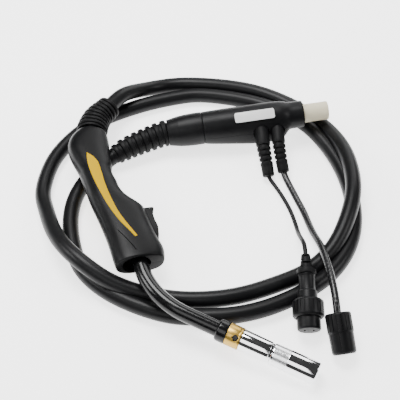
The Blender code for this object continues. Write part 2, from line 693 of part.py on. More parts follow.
def handle_inside():
    """The crimped cable end and the block that joins it to the neck tube."""
    end = gun.matrix_world.inverted() @ (cable_line[0] * MM) / MM
    heading = gun.matrix_world.to_3x3().inverted() @ (cable_line[0] - cable_line[2]).normalized()
    crimp = [end + heading * 0.4, end + heading * 16.0]
    crimp += [Vector((-156.0, -21.5, 0.0)), Vector((-150.5, -21.5, 0.0))]
    rings = rings_along(crimp, [8.8] * 4, 12)
    loft("cable_terminal", copper, gun, rings)
    turned(
        "torch_body_block", brass, gun,
        ((30.8, 8.0), (22.0, 8.0), (22.0, 10.2), (6.0, 10.2), (6.0, 9.0), (0.0, 9.0)), steps=16,
        at=(-150.0, -21.5, 0.0), turn=Matrix.Rotation(math.radians(90), 4, "Y"),
    )


handle_inside()


# ------------------------------------------------------------------ rear connector


def connector_parts():
    ahead = Vector((
        math.cos(CONNECTOR_TURN) * math.cos(CONNECTOR_TILT),
        math.sin(CONNECTOR_TURN) * math.cos(CONNECTOR_TILT),
        math.sin(CONNECTOR_TILT),
    ))
    body = frame("connector_frame", tuple(Vector(CONNECTOR_AT) + BENCH), ahead, (0, 0, 1))
    turned(
        "rear_collar", rubber, body,
        ((23.2, 20.6), (12.0, 21.0), (2.0, 20.6), (-8.0, 19.6), (-17.0, 17.8), (-22.4, 17.2)),
        ((-22.4, 13.8), (-2.0, 13.8), (-2.0, 18.0), (23.2, 18.0)), 16,
    )
    boot_holes = (
        rod("control_hole", None, body, (-1.3, 22.0, CONTROL_Z + 0.2), 10.3, 30.0, "Y", 16, cutter=True),
        rod("gas_hole", None, body, (-2.3, 22.0, GAS_Z), 9.7, 30.0, "Y", 16, cutter=True),
    )
    hollow = turned("shell_hollow", None, body, ((128.0, 18.3), (26.3, 18.3)), steps=16, cutter=True)
    pin_way = turned("pin_way", None, body, ((160.0, 10.6), (20.0, 10.6)), steps=16, cutter=True)
    posts = [
        rod(f"post_{number}", None, body, (0, y, z), 3.6, 27.0, "X", 8, cutter=True)
        for number, (y, z) in enumerate(CONNECTOR_SCREWS)
    ]
    belly = turned(
        "belly", None, body, ((131.0, 18.5), (126.0, 21.5), (60.0, 21.3), (30.0, 20.0)),
        at=(-4.6, 3.6, 0.0), cutter=True,
    )
    ledge = box("ledge", None, body, (-20.0, 4.0, 66.0), (9.6, 25.5, 130.5), cutter=True, bevel=4.0)
    for side, name in ((1, "connector_shell_upper"), (-1, "connector_shell_lower")):
        shell = turned(
            name, rubber, body,
            ((SHELL_TO, NECK_END_R - 0.8), (SHELL_TO - 0.8, NECK_END_R), (136.0, NECK_END_R + 0.2),
             (130.0, 20.2), (110.0, 21.4), (80.0, 21.0), (45.0, BODY_R), (SHELL_FROM, 20.7)),
            steps=16,
        )
        combine(shell, belly, "UNION")
        combine(shell, ledge, "UNION")
        combine(shell, hollow)
        for post in posts:
            combine(shell, post, "UNION")
        low, high = ((-40, -40, 0), (0.15, 40, 180)) if side > 0 else ((-0.15, -40, 0), (40, 40, 180))
        combine(shell, box(f"half_{name}", None, body, low, high, cutter=True))
        for opening in (pin_way, *boot_holes, *connector_screw_holes(body, side)):
            combine(shell, opening)
    for number, (y, z) in enumerate(CONNECTOR_SCREWS):
        turned(
            f"connector_screw_{number + 1}", steel, body,
            ((9.0, 1.45), (-9.4, 1.45), (-9.4, 2.8), (-11.6, 2.8)), steps=12, at=(0, y, z),
            turn=Matrix.Rotation(math.radians(90), 4, "Y"),
        )
    turned("rear_cable_terminal", copper, body, ((48.0, 8.6), (4.8, 8.6)), steps=16)
    turned(
        "connector_block", brass, body,
        ((121.7, 9.0), (100.0, 9.0), (100.0, 12.5), (70.0, 12.5), (70.0, 9.0), (48.3, 9.0)), steps=6,
    )
    turned(
        "power_pin", brass, body,
        ((183.6, 2.6), (182.6, 7.0), (174.6, 7.0), (174.6, 5.8), (172.0, 5.8), (172.0, 7.0),
         (152.0, 7.0), (152.0, 10.2), (122.0, 10.2)),
        ((122.0, 1.6), (183.6, 1.6)), 16,
    )
    turned("pin_o_ring", gloss, body, ((174.3, 7.2), (172.3, 7.2)), ((172.3, 6.1), (174.3, 6.1)), 16)
    turned(
        "protective_cap", ivory, body,
        ((CAP_TO, CAP_R - 0.6), (CAP_TO - 0.6, CAP_R), (SHELL_TO + 0.4, CAP_R)),
        ((SHELL_TO + 0.4, 7.6), (185.0, 7.6), (185.0, 6.0), (CAP_TO, 6.0)),
    )
    plate_turn = Matrix.Rotation(LABEL_TURN, 4, "Z")
    box("label_plate", white, body, (22.0, -6.6, 64.5), (22.8, 6.6, 115.5), turn=plate_turn)


CONNECTOR_SCREWS = ((-15.4, 40.0), (-15.4, 112.0), (15.4, 60.0))


def connector_screw_holes(body, side):
    """The pilot holes in the upper shell, or the shank and head holes in the lower one."""
    found = []
    for number, (y, z) in enumerate(CONNECTOR_SCREWS):
        if side > 0:
            found.append(rod(f"pilot_c{number}", None, body, (5.0, y, z), 1.8, 12.0, "X", 8, cutter=True))
        else:
            found.append(rod(f"shank_c{number}", None, body, (-6.0, y, z), 1.8, 14.0, "X", 8, cutter=True))
            found.append(rod(f"head_c{number}", None, body, (-19.0, y, z), 3.1, 20.0, "X", 8, cutter=True))
    return found


connector_parts()


# ------------------------------------------------------------------ side leads, plug and gas nut


def lead_boot(name, route, radii, bore):
    line = smooth_route(on_bench(route), 2.0)
    travelled = arc_lengths(line)
    whole = travelled[-1]
    plain = [point_at(line, travelled, t) for t in (2.0, 12.0, 22.0, 30.0)]
    points, sizes = list(plain), [radii[0]] * 4
    for k in range(4):
        radius = radii[0] + (radii[1] - radii[0]) * (k + 1) / 5
        for share, drop in ((0.1, 1.0), (0.55, 0.0)):
            points.append(point_at(line, travelled, 32.0 + (k + share) * 6.6))
            sizes.append(radius - drop)
    points += [point_at(line, travelled, whole - 3.0), line[-1]]
    sizes += [radii[1], radii[1] - 1.2]
    return sleeve(name, rubber, points, sizes, bore, sides=10)


def side_leads():
    lead_boot("control_boot", CONTROL_BOOT_ROUTE, (9.1, 7.6), LEAD_R + 1.2)
    lead_boot("gas_boot", GAS_BOOT_ROUTE, (8.3, 7.5), HOSE_R + 1.2)
    lead = smooth_route(on_bench(CONTROL_ROUTE), 2.0)
    hose = smooth_route(on_bench(GAS_ROUTE), 2.0)
    tube("control_lead", jacket, thinned(lead, 13.0), LEAD_R, 2)
    tube("gas_hose", jacket, thinned(hose, 18.0), HOSE_R)


def control_plug():
    start, end = (Vector(p) + BENCH for p in (PLUG_FROM, PLUG_TO))
    plug = frame("plug_frame", tuple(start), end - start, (0, 0, 1))
    turned(
        "plug_strain_relief", rubber, plug,
        ((24.0, 10.8), (18.5, 11.0), (18.0, 6.4), (13.4, 6.4), (13.4, 5.4), (11.4, 5.4), (11.4, 6.2),
         (8.4, 6.2), (8.4, 5.2), (6.4, 5.2), (6.4, 5.9), (3.4, 5.9), (3.4, 4.8), (0.0, 4.8)),
        ((0.0, LEAD_R + 0.9), (24.0, LEAD_R + 0.9)), 12,
    )
    turned(
        "plug_body", rubber, plug,
        ((66.0, 12.4), (54.0, 12.4), (54.0, 11.0), (44.0, 11.0), (43.0, 9.2), (27.0, 9.2), (25.5, 9.8),
         (24.3, 9.8)),
        ((24.3, 7.4), (66.0, 7.4)), 16,
    )
    ring_at = (plug.matrix_world @ (Vector((0, 0, 62.5)) * MM)) / MM
    ring = frame("ring_frame", ring_at, end - start, (0, 0, 1))
    turned(
        "plug_coupling_ring", rubber, ring,
        ((11.5, 15.9), (9.5, 17.6), (-6.0, 17.6), (-9.0, 15.0), (-9.0, 12.8)),
        ((-9.0, 12.7), (3.4, 12.7), (3.4, 13.6), (11.5, 13.6)), 16,
    )
    insert = turned("plug_insert", rubber, plug, ((88.0, 12.0), (86.5, 13.1), (66.3, 13.1)), steps=16)
    for number, angle in ((1, 90), (2, 270)):
        a = math.radians(angle)
        x, y = 5.0 * math.sin(a), 5.0 * math.cos(a)
        hole = rod(f"contact_hole_{number}", None, plug, (x, y, 80.0), 1.7, 20.0, sides=8, cutter=True)
        combine(insert, hole)
        turned(
            f"plug_contact_{number}", brass, plug,
            ((85.5, 1.4), (70.6, 1.4)), ((70.6, 0.7), (85.5, 0.7)), 12, at=(x, y, 0),
        )


def gas_fitting():
    start, end = (Vector(p) + BENCH for p in (NUT_FROM, NUT_TO))
    nut = frame("nut_frame", tuple(start), end - start, (0, 0, 1))
    turned(
        "gas_nut", rubber, nut,
        ((44.5, 11.5), (42.5, 13.1), (22.0, 13.6), (21.5, 14.4), (0.5, 14.4), (0.0, 13.8)),
        ((0.0, 5.6), (14.0, 5.6), (14.0, 10.5), (44.5, 10.5)), 16,
    )
    turned(
        "gas_nipple", brass, nut,
        ((37.0, 3.2), (30.0, 5.4), (24.0, 5.4), (24.0, 9.6), (14.4, 9.6)), ((14.4, 1.8), (37.0, 1.8)),
    )
    turned("gas_seal", gloss, nut, ((26.6, 8.8), (24.3, 8.8)), ((24.3, 5.7), (26.6, 5.7)))


side_leads()
control_plug()
gas_fitting()
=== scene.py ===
import json
import math

import bmesh
import bpy
import numpy as np
from mathutils import Matrix, Vector


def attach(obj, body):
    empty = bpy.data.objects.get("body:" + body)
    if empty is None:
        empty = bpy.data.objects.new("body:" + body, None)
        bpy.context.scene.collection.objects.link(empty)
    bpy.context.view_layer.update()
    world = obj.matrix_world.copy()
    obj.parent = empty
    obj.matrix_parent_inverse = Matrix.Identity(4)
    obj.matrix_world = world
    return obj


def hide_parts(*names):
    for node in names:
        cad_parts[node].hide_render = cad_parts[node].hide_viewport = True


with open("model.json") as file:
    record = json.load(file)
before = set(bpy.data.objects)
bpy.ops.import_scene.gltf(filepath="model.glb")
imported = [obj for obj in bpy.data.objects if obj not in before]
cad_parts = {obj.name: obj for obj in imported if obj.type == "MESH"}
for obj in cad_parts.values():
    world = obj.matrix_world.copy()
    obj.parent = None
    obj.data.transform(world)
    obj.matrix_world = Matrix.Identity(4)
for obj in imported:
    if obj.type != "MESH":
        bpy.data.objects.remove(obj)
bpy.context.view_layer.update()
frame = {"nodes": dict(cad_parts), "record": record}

# A gas-cooled MIG welding torch lying on a bench: the gun, its looped power cable, the machine
# connector, and the control plug and gas nut on their own leads. Sizes are in millimetres here,
# and every shape is brought down to metres as it is made.

MM = 0.001
BENCH = Vector((19, 91.6, 0))  # the middle of the cable's loops


def show(item):
    bpy.context.scene.collection.objects.link(item)


def holder(at, ahead, hint):
    """The place and turn of a group of pieces: +Z runs ahead, and +X is as near the hint as it can be."""
    z = Vector(ahead).normalized()
    x = Vector(hint)
    x = (x - z * x.dot(z)).normalized()
    turn = Matrix((x, z.cross(x), z)).transposed().to_4x4()
    return Matrix.Translation(Vector(at)) @ turn


# ---- camera

camera_data = bpy.data.cameras.new("bench_camera")
camera_data.lens = 77.76
camera_data.sensor_width = 36
bench_camera = bpy.data.objects.new("bench_camera", camera_data)
show(bench_camera)
camera_to = BENCH * MM
camera_from = camera_to + Vector((0, -0.6942, 0.8273))
bench_camera.location = camera_from
bench_camera.rotation_euler = (camera_to - camera_from).to_track_quat("-Z", "Y").to_euler()
bpy.context.scene.camera = bench_camera

# ---- sizes and routes

CABLE_R, LEAD_R, HOSE_R = 9.8, 2.6, 4.2
HANDLE_MOUTH = 31.5
HANDLE_SEAM, HOUSING_SEAM = 0.12, 0.15  # how far each half stops short of the middle
CABLE_SEEN_FROM, REAR_BOOT_REACH, BOOT_PLUG = 18, 106, 7
CABLE_ROUTE = (
    (-137.2, 46.8, 37.5), (-138.5, 75.6, 36.6), (-137.3, 92.7, 36.5), (-132.4, 109.4, 36.2),
    (-123.4, 123.4, 35.8), (-106, 150.6, 34.4), (-87, 173, 24), (-65, 190.6, 13.5),
    (-39, 200, 10.1), (0, 201, 10.1), (69, 189, 10.1), (120, 162, 10.1),
    (158, 123, 14), (181, 76, 21), (188, 32, 27.5), (186, -12, 30.3),
    (174, -53, 26), (155, -88, 17), (127, -114, 11), (92, -132, 10.1),
    (45, -149, 10.1), (0, -155, 10.1), (-34, -153.3, 10.1), (-68, -148, 14),
    (-102, -138, 22), (-129, -122, 29.5), (-152, -100, 30.2), (-173, -66, 22.5),
    (-188, -25, 13), (-195, 2, 10.1), (-193, 34, 10.1), (-185, 64, 10.1),
    (-167, 96, 10.1), (-143, 123, 10.1), (-113, 143, 10.1), (-68, 163.5, 10.1),
    (-30, 175, 10.1), (0, 179, 10.1), (55, 170, 10.1), (95, 155.5, 10.1),
    (132, 131, 10.1), (158, 97, 10.1), (178, 50, 10.1), (188, -9, 10.1),
    (182, -63, 10.1), (163, -103, 10.1), (137, -131, 10.1), (101, -154, 10.1),
    (67, -168.5, 10.1), (33, -176, 10.1), (0, -177.5, 10.1), (-33, -175.3, 10.1),
    (-79, -159, 10.1), (-113, -138, 10.1), (-137, -112, 10.1), (-149, -83, 10.1),
    (-156, -48, 10.1), (-156, -17, 10.1), (-150, 8, 10.1), (-137, 34, 10.1),
    (-126.8, 46.6, 10), (-116, 56.2, 13.4), (-96, 69.8, 18.2), (-71, 82.7, 21.1),
    (-45.2, 92.8, 24), (-31.4, 94.6, 25.06), (-15.6, 96.4, 26.3),
)
CONTROL_BOOT_ROUTE = (
    (77.8, 98, 33.5), (79.2, 84, 32.5), (80.5, 70, 28.5), (82.5, 57.5, 22.5), (85, 45, 15), (87, 32.5, 8),
)
GAS_BOOT_ROUTE = ((98.8, 102, 35), (99.6, 87, 33), (100.8, 70, 27.5), (103.4, 54, 17.5), (106.5, 39, 8.5))
CONTROL_ROUTE = (
    (85, 45, 15), (87, 32.5, 8), (91, 26, 4.8), (99.5, 11, 2.9), (110.5, -17, 2.9), (115.2, -38, 4.5),
    (116.8, -58, 11.5), (117.3, -76, 24), (118.2, -92, 36), (119.1, -103, 39.9), (119.4, -113.2, 38.6),
    (119.38, -120, 36.65), (119.36, -128, 34.34),
)
GAS_ROUTE = (
    (103.4, 54, 17.5), (106.5, 39, 8.5), (110, 28, 5.4), (115, 14, 4.5), (120, -1, 4.5),
    (127, -22, 4.7), (131, -41, 7.5), (135, -66, 16), (139.5, -91.5, 27.8), (143, -116, 34.2),
    (146, -143, 36.8), (148, -170, 35.8), (149, -186.1, 31.2), (150.6, -196, 26.1),
)

GUN_FORWARD, GUN_UP = Vector((0.284, -0.958, 0.0034)), Vector((0.150, 0.048, 0.987))
GUN_AT, CONNECTOR_AT = Vector((-66, -124, 35.02)), Vector((-19.5, 96, 26))
gun_z = holder(BENCH + GUN_AT, GUN_UP, GUN_FORWARD)
NECK_Y, NECK_BEND_R, NECK_BEND_FROM = -1, 90, 6
NECK_BEND, NECK_STRAIGHT = math.radians(49.6), 50.3
neck_ahead = Vector((math.cos(NECK_BEND), math.sin(NECK_BEND), 0))
neck_bend_end = Vector((
    NECK_BEND_FROM + NECK_BEND_R * math.sin(NECK_BEND), NECK_Y + NECK_BEND_R * (1 - math.cos(NECK_BEND)), 0,
))
nozzle_start = neck_bend_end + neck_ahead * NECK_STRAIGHT
nozzle_z = holder(gun_z @ nozzle_start, gun_z.to_3x3() @ neck_ahead, GUN_UP)

CONNECTOR_TURN, CONNECTOR_TILT = math.radians(7), math.radians(4.5)
connector_ahead = Vector((
    math.cos(CONNECTOR_TURN) * math.cos(CONNECTOR_TILT),
    math.sin(CONNECTOR_TURN) * math.cos(CONNECTOR_TILT),
    math.sin(CONNECTOR_TILT),
))
connector_z = holder(BENCH + CONNECTOR_AT, connector_ahead, (0, 0, 1))
PLUG_FROM, PLUG_TO = Vector((119.4, -113.2, 38.6)), Vector((119.2, -198, 14.2))
NUT_FROM, NUT_TO = Vector((149, -186.1, 31.2)), Vector((154.6, -221.2, 13))
plug_z = holder(BENCH + PLUG_FROM, PLUG_TO - PLUG_FROM, (0, 0, 1))
nut_z = holder(BENCH + NUT_FROM, NUT_TO - NUT_FROM, (0, 0, 1))
ring_z = plug_z @ Matrix.Translation((0, 0, 62.5))

# ---- material workshop


class Amount:
    """A number that changes over a surface. Maths on it adds the nodes that work it out."""

    def __init__(self, finish, socket):
        self.finish, self.socket = finish, socket

    def maths(self, operation, *terms):
        return self.finish.add("ShaderNodeMath", {"operation": operation}, dict(enumerate(terms)))

    def sine(self):
        return self.maths("SINE", self)

    def __add__(self, other):
        return self.maths("ADD", self, other)

    def __sub__(self, other):
        return self.maths("SUBTRACT", self, other)

    def __rsub__(self, other):
        return self.maths("SUBTRACT", other, self)

    def __mul__(self, other):
        return self.maths("MULTIPLY", self, other)

    def __gt__(self, other):
        return self.maths("GREATER_THAN", self, other)

    def __lt__(self, other):
        return self.maths("LESS_THAN", self, other)

    __radd__, __rmul__ = __add__, __mul__


class Finish:
    """One material in the making, with the nodes that its surface needs."""

    def __init__(self, name, colour, roughness, metallic=0, coat=0, shine=0.5):
        self.material = bpy.data.materials.new(name)
        self.material.use_nodes = True
        self.tree = self.material.node_tree
        self.shader = self.tree.nodes["Principled BSDF"]
        for socket, value in (
            ("Base Color", (*colour, 1)), ("Roughness", roughness), ("Metallic", metallic),
            ("Coat Weight", coat), ("Coat Roughness", 0.12), ("Specular IOR Level", shine),
        ):
            self.shader.inputs[socket].default_value = value
        self.material.diffuse_color = (*colour, 1)

    def add(self, kind, settings=None, sockets=None, out=0):
        """A node of any kind: its settings are set first, then its sockets' values and links."""
        node = self.tree.nodes.new(kind)
        for key, value in (settings or {}).items():
            setattr(node, key, value)
        for key, value in (sockets or {}).items():
            self.feed(node.inputs[key], value)
        return Amount(self, node.outputs[out])

    def feed(self, socket, value):
        if isinstance(value, Amount):
            self.tree.links.new(value.socket, socket)
        else:
            socket.default_value = value

    def place(self):
        """Where a point of the surface is, in metres."""
        return self.add("ShaderNodeTexCoord", out="Object")

    def surface_map(self):
        """The piece's own map: along it and round it, in metres."""
        return self.add("ShaderNodeUVMap", {"uv_map": "length_map"})

    def noise(self, scale, detail=3, where=None, stretch=None, rough=0.5):
        spot = where or self.place()
        if stretch:
            spot = self.add("ShaderNodeMapping", None, {"Vector": spot, "Scale": stretch})
        return self.add(
            "ShaderNodeTexNoise", None,
            {"Vector": spot, "Scale": scale, "Detail": detail, "Roughness": rough}, out="Fac",
        )

    def along(self, frame_z):
        """How far along a holder's own Z the surface is, in millimetres."""
        axis = frame_z.to_3x3() @ Vector((0, 0, 1))
        start = frame_z.to_translation().dot(axis)
        dot = self.add(
            "ShaderNodeVectorMath", {"operation": "DOT_PRODUCT"}, {0: self.place(), 1: tuple(axis)},
            out="Value",
        )
        return dot * 1000 - start

    def ramp(self, amount, low, high, first=0, last=1):
        """A straight ramp of an amount between two of its values, held outside them."""
        return self.add(
            "ShaderNodeMapRange", {"clamp": True},
            {"Value": amount, "From Min": low, "From Max": high, "To Min": first, "To Max": last},
        )

    def mix(self, share, first, second):
        return self.add(
            "ShaderNodeMix", {"data_type": "RGBA"}, {0: share, 6: (*first, 1), 7: (*second, 1)}, out=2
        )

    def colour(self, share, first, second):
        self.feed(self.shader.inputs["Base Color"], self.mix(share, first, second))

    def colour_over(self, share, under, over):
        """One colour, given as a mix already, under a patch of another."""
        mixed = self.add("ShaderNodeMix", {"data_type": "RGBA"}, {0: share, 6: under, 7: (*over, 1)}, out=2)
        self.feed(self.shader.inputs["Base Color"], mixed)

    def roughness(self, amount):
        self.feed(self.shader.inputs["Roughness"], amount)

    def bump(self, height, depth, strength=1, over=None):
        sockets = {"Height": height, "Distance": depth, "Strength": strength}
        if over:
            sockets["Normal"] = over
        bumped = self.add("ShaderNodeBump", None, sockets)
        self.feed(self.shader.inputs["Normal"], bumped)
        return bumped


def moulded(name, dark, light, roughness, grain=1500, grain_depth=0.00006, scuff=0.35):
    """Moulded plastic: a fine grain, slight patches of tone, and pale hairline scuffs."""
    finish = Finish(name, dark, roughness, shine=0.14)
    patches = finish.noise(28, 4)
    hairs = finish.noise(60, 6, stretch=(1, 14, 3), rough=0.7)
    hairs_across = finish.noise(70, 6, stretch=(11, 1.2, 4), rough=0.7)
    scuffs = finish.ramp(hairs, 0.69, 0.76) + finish.ramp(hairs_across, 0.70, 0.77)
    tone = finish.mix(patches, dark, light)
    worn = tuple(c * 3 + 0.012 for c in light)
    finish.colour_over(scuffs * scuff, tone, worn)
    finish.roughness(finish.ramp(patches, 0.3, 0.7, roughness - 0.05, roughness + 0.07) + scuffs * 0.08)
    fine = finish.noise(grain, 2)
    finish.bump(fine + scuffs * 0.3, grain_depth, 0.55)
    return finish.material


def rubber(name, dark, light, roughness, grain=900):
    """Rubber: a dull fine texture, dusty where it has been handled."""
    finish = Finish(name, dark, roughness, shine=0.12)
    dust = finish.noise(45, 6, rough=0.65)
    specks = finish.noise(420, 3)
    finish.colour(finish.ramp(dust, 0.42, 0.78) * 0.75 + finish.ramp(specks, 0.62, 0.8) * 0.25, dark, light)
    finish.roughness(finish.ramp(dust, 0.3, 0.7, roughness - 0.06, roughness + 0.1))
    finish.bump(finish.noise(grain, 3) + specks * 0.4, 0.00007, 0.6)
    return finish.material


def extruded(name, dark, light, roughness, ripple=0.00005):
    """A drawn jacket: faint lengthwise lines, a slow ripple and a few scuffs along it."""
    finish = Finish(name, dark, roughness, shine=0.16)
    where = finish.surface_map()
    lines = finish.noise(220, 3, where=where, stretch=(0.06, 1, 1))
    slow = finish.noise(26, 2, where=where)
    rubs = finish.ramp(finish.noise(55, 6, where=where, stretch=(0.35, 1.6, 1), rough=0.7), 0.64, 0.76)
    tone = finish.mix(slow, dark, light)
    finish.colour_over(rubs * 0.4, tone, tuple(c * 2.4 + 0.008 for c in light))
    finish.roughness(finish.ramp(lines, 0.3, 0.7, roughness - 0.05, roughness + 0.06) + rubs * 0.12)
    grain = finish.bump(finish.noise(1400, 2), 0.00003, 0.5)
    finish.bump(lines * 0.5 + slow, ripple, 0.6, over=grain)
    return finish.material


def braided_hose(name):
    """A clear-coated hose with a dark braid wound both ways under its glossy skin."""
    strand_pitch, slant = 0.0052, 0.8
    finish = Finish(name, (0.003, 0.003, 0.0033), 0.2, coat=0.12, shine=0.3)
    where = finish.surface_map()
    along_it = finish.add("ShaderNodeSeparateXYZ", None, {"Vector": where}, out="X")
    round_it = finish.add("ShaderNodeSeparateXYZ", None, {"Vector": where}, out="Y")
    turns = 2 * math.pi / strand_pitch
    one_way = (along_it * turns + round_it * turns * slant).sine()
    other_way = (along_it * turns - round_it * turns * slant).sine()
    strands = one_way.maths("MAXIMUM", one_way, other_way)
    share = finish.ramp(strands, 0.35, 1)
    tone = finish.mix(share * 0.9, (0.0028, 0.0028, 0.003), (0.02, 0.0203, 0.0215))
    rubs = finish.ramp(finish.noise(70, 5, where=where, rough=0.7), 0.66, 0.78)
    finish.colour_over(rubs * 0.25, tone, (0.04, 0.04, 0.042))
    finish.roughness(finish.ramp(share, 0, 1, 0.3, 0.16) + rubs * 0.2)
    finish.bump(share, 0.00012, 0.7)
    return finish.material


def glossy(name, colour, roughness, coat=0.12):
    """Smooth black insulation, with polishing swirls and a few specks."""
    finish = Finish(name, colour, roughness, coat=coat, shine=0.22)
    swirls = finish.noise(140, 5, stretch=(1, 5, 2), rough=0.7)
    specks = finish.ramp(finish.noise(260, 3), 0.68, 0.76)
    worn = tuple(c * 3 + 0.004 for c in colour)
    finish.colour(finish.ramp(swirls, 0.4, 0.8) * 0.5 + specks * 0.4, colour, worn)
    finish.roughness(finish.ramp(swirls, 0.35, 0.75, roughness - 0.03, roughness + 0.09) + specks * 0.12)
    finish.bump(finish.noise(60, 2) + swirls * 0.1, 0.00012, 0.35)
    return finish.material


def metal(name, colour, tint, roughness, frame_z, pitch=0.45, ring_depth=0.00001, frosted=None, tarnish=0.3):
    """Turned metal: tool rings round the axis, handling marks, and a frosted band where it has one."""
    finish = Finish(name, colour, roughness, metallic=1)
    z = finish.along(frame_z)
    wander = finish.noise(35, 3)
    rings = (z * (2 * math.pi / pitch) + wander * 3).sine()
    stain = finish.ramp(finish.noise(55, 6, rough=0.7), 0.5, 0.8)
    finish.colour(stain * tarnish, colour, tint)
    rough = finish.ramp(wander, 0.3, 0.7, max(0.03, roughness - 0.04), roughness + 0.05) + stain * 0.1
    height = rings * 0.5 + 0.5
    marks = finish.bump(height, ring_depth, 0.5)
    if frosted:
        low, high = frosted
        band = (z > low) * (z < high)
        rough = rough + band * 0.22
        milled = finish.noise(900, 2) * band
        finish.bump(milled, 0.00012, 0.8, over=marks)
    finish.roughness(rough)
    return finish.material


def fired(name, colour, dark):
    """Ceramic and glass-filled plastic: chalky, pitted and smoke-stained in patches."""
    finish = Finish(name, colour, 0.6)
    smoke = finish.ramp(finish.noise(80, 6, rough=0.7), 0.45, 0.75)
    pits = finish.ramp(finish.noise(700, 3), 0.35, 0.5)
    finish.colour(smoke * 0.7, colour, dark)
    finish.roughness(finish.ramp(smoke, 0, 1, 0.55, 0.75))
    finish.bump(pits, 0.00008, 0.6)
    return finish.material


def smooth_plastic(name, colour, shade, roughness, coat=0, shine=0.3):
    """Coloured plastic with a little depth of tone, slight moulding ripple and handling marks."""
    finish = Finish(name, colour, roughness, coat=coat, shine=shine)
    tone = finish.noise(38, 4)
    smears = finish.ramp(finish.noise(95, 6, stretch=(1, 3, 2), rough=0.7), 0.58, 0.78)
    finish.colour(tone * 0.35 + smears * 0.25, colour, shade)
    finish.roughness(finish.ramp(tone, 0.3, 0.7, roughness - 0.05, roughness + 0.06) + smears * 0.1)
    finish.bump(finish.noise(650, 2) * 0.4 + tone, 0.00008, 0.5)
    return finish.material


handle_black = moulded("handle_black", (0.0026, 0.0026, 0.0029), (0.0042, 0.0043, 0.0047), 0.38)
trigger_black = moulded(
    "trigger_black", (0.0026, 0.0026, 0.0029), (0.004, 0.0041, 0.0045), 0.34, grain=2100, scuff=0.5)
housing_black = moulded("housing_black", (0.0032, 0.0032, 0.0036), (0.0052, 0.0053, 0.0059), 0.42, grain=1250)
fitting_black = moulded("fitting_black", (0.003, 0.003, 0.0034), (0.005, 0.0051, 0.0056), 0.4, grain=1700)
boot_rubber = rubber("boot_rubber", (0.003, 0.003, 0.0033), (0.0068, 0.0069, 0.0074), 0.5)
cable_jacket = extruded("cable_jacket", (0.0034, 0.0034, 0.0038), (0.0052, 0.0053, 0.0058), 0.38)
lead_jacket = extruded("lead_jacket", (0.0036, 0.0036, 0.0041), (0.0058, 0.0059, 0.0065), 0.46)
hose_braid = braided_hose("hose_braid")
neck_gloss = glossy("neck_gloss", (0.0022, 0.0022, 0.0025), 0.2)
black_parts = glossy("black_parts", (0.005, 0.005, 0.0055), 0.25, coat=0.1)
yellow_trim = smooth_plastic("yellow_trim", (0.5, 0.31, 0), (0.43, 0.25, 0), 0.6, shine=0)
chrome = metal(
    "chrome", (0.86, 0.865, 0.88), (0.62, 0.6, 0.57), 0.07, nozzle_z, 0.5, 0.000002, (54, 70), 0.12)
brass = metal("brass", (0.5, 0.32, 0.07), (0.3, 0.17, 0.045), 0.33, nozzle_z, 0.5, 0.00001)
inner_brass = metal("inner_brass", (0.74, 0.53, 0.25), (0.42, 0.27, 0.12), 0.3, connector_z, 0.6, 0.00002)
copper = metal("copper", (0.78, 0.4, 0.24), (0.4, 0.19, 0.11), 0.3, nozzle_z, 0.5, 0.00002)
steel = metal("steel", (0.5, 0.51, 0.53), (0.3, 0.29, 0.27), 0.34, gun_z, 0.4, 0.00001)
insulator = fired("insulator", (0.72, 0.56, 0.4), (0.2, 0.14, 0.1))
ivory_plastic = smooth_plastic("ivory_plastic", (0.62, 0.57, 0.42), (0.5, 0.44, 0.3), 0.42)
white_plate = smooth_plastic("white_plate", (0.7, 0.7, 0.69), (0.6, 0.61, 0.61), 0.36, coat=0.1)

# ---- shaping tools

ops = bpy.ops


def take_all():
    ops.mesh.select_all(action="SELECT")


def clear_selection():
    if bpy.context.object and bpy.context.object.mode != "OBJECT":
        ops.object.mode_set(mode="OBJECT")
    ops.object.select_all(action="DESELECT")


def hold(piece):
    """Selects one piece and nothing else."""
    clear_selection()
    piece.select_set(True)
    bpy.context.view_layer.objects.active = piece


def edit(piece):
    hold(piece)
    ops.object.mode_set(mode="EDIT")


def pick(piece, kind, wanted):
    """Selects a piece's faces, edges or points, in edit mode, by a test on their middle and normal."""
    ops.mesh.select_mode(type=kind)
    ops.mesh.select_all(action="DESELECT")
    shape = bmesh.from_edit_mesh(piece.data)
    items = {"FACE": shape.faces, "EDGE": shape.edges, "VERT": shape.verts}[kind]
    count = 0
    for item in items:
        if kind == "FACE":
            spot, facing = item.calc_center_median(), item.normal
        elif kind == "EDGE":
            spot, facing = (item.verts[0].co + item.verts[1].co) / 2, item.verts[1].co - item.verts[0].co
        else:
            spot, facing = item.co, item.normal
        if wanted(spot / MM, facing):
            item.select_set(True)
            count += 1
    shape.select_flush_mode()
    bmesh.update_edit_mesh(piece.data)
    return count


def new_mesh(name):
    """A piece in edit mode, with a single point at its start."""
    clear_selection()
    ops.mesh.primitive_plane_add(size=2 * MM, location=(0, 0, 0))
    piece = bpy.context.object
    piece.name = piece.data.name = name
    ops.object.mode_set(mode="EDIT")
    ops.mesh.select_mode(type="VERT")
    take_all()
    ops.mesh.merge(type="CENTER")
    return piece


def tidy_mesh():
    take_all()
    ops.mesh.remove_doubles(threshold=0.000004)
    ops.mesh.normals_make_consistent(inside=False)


def close_up():
    """Merges doubled points, turns the faces outwards and leaves edit mode."""
    tidy_mesh()
    ops.object.mode_set(mode="OBJECT")


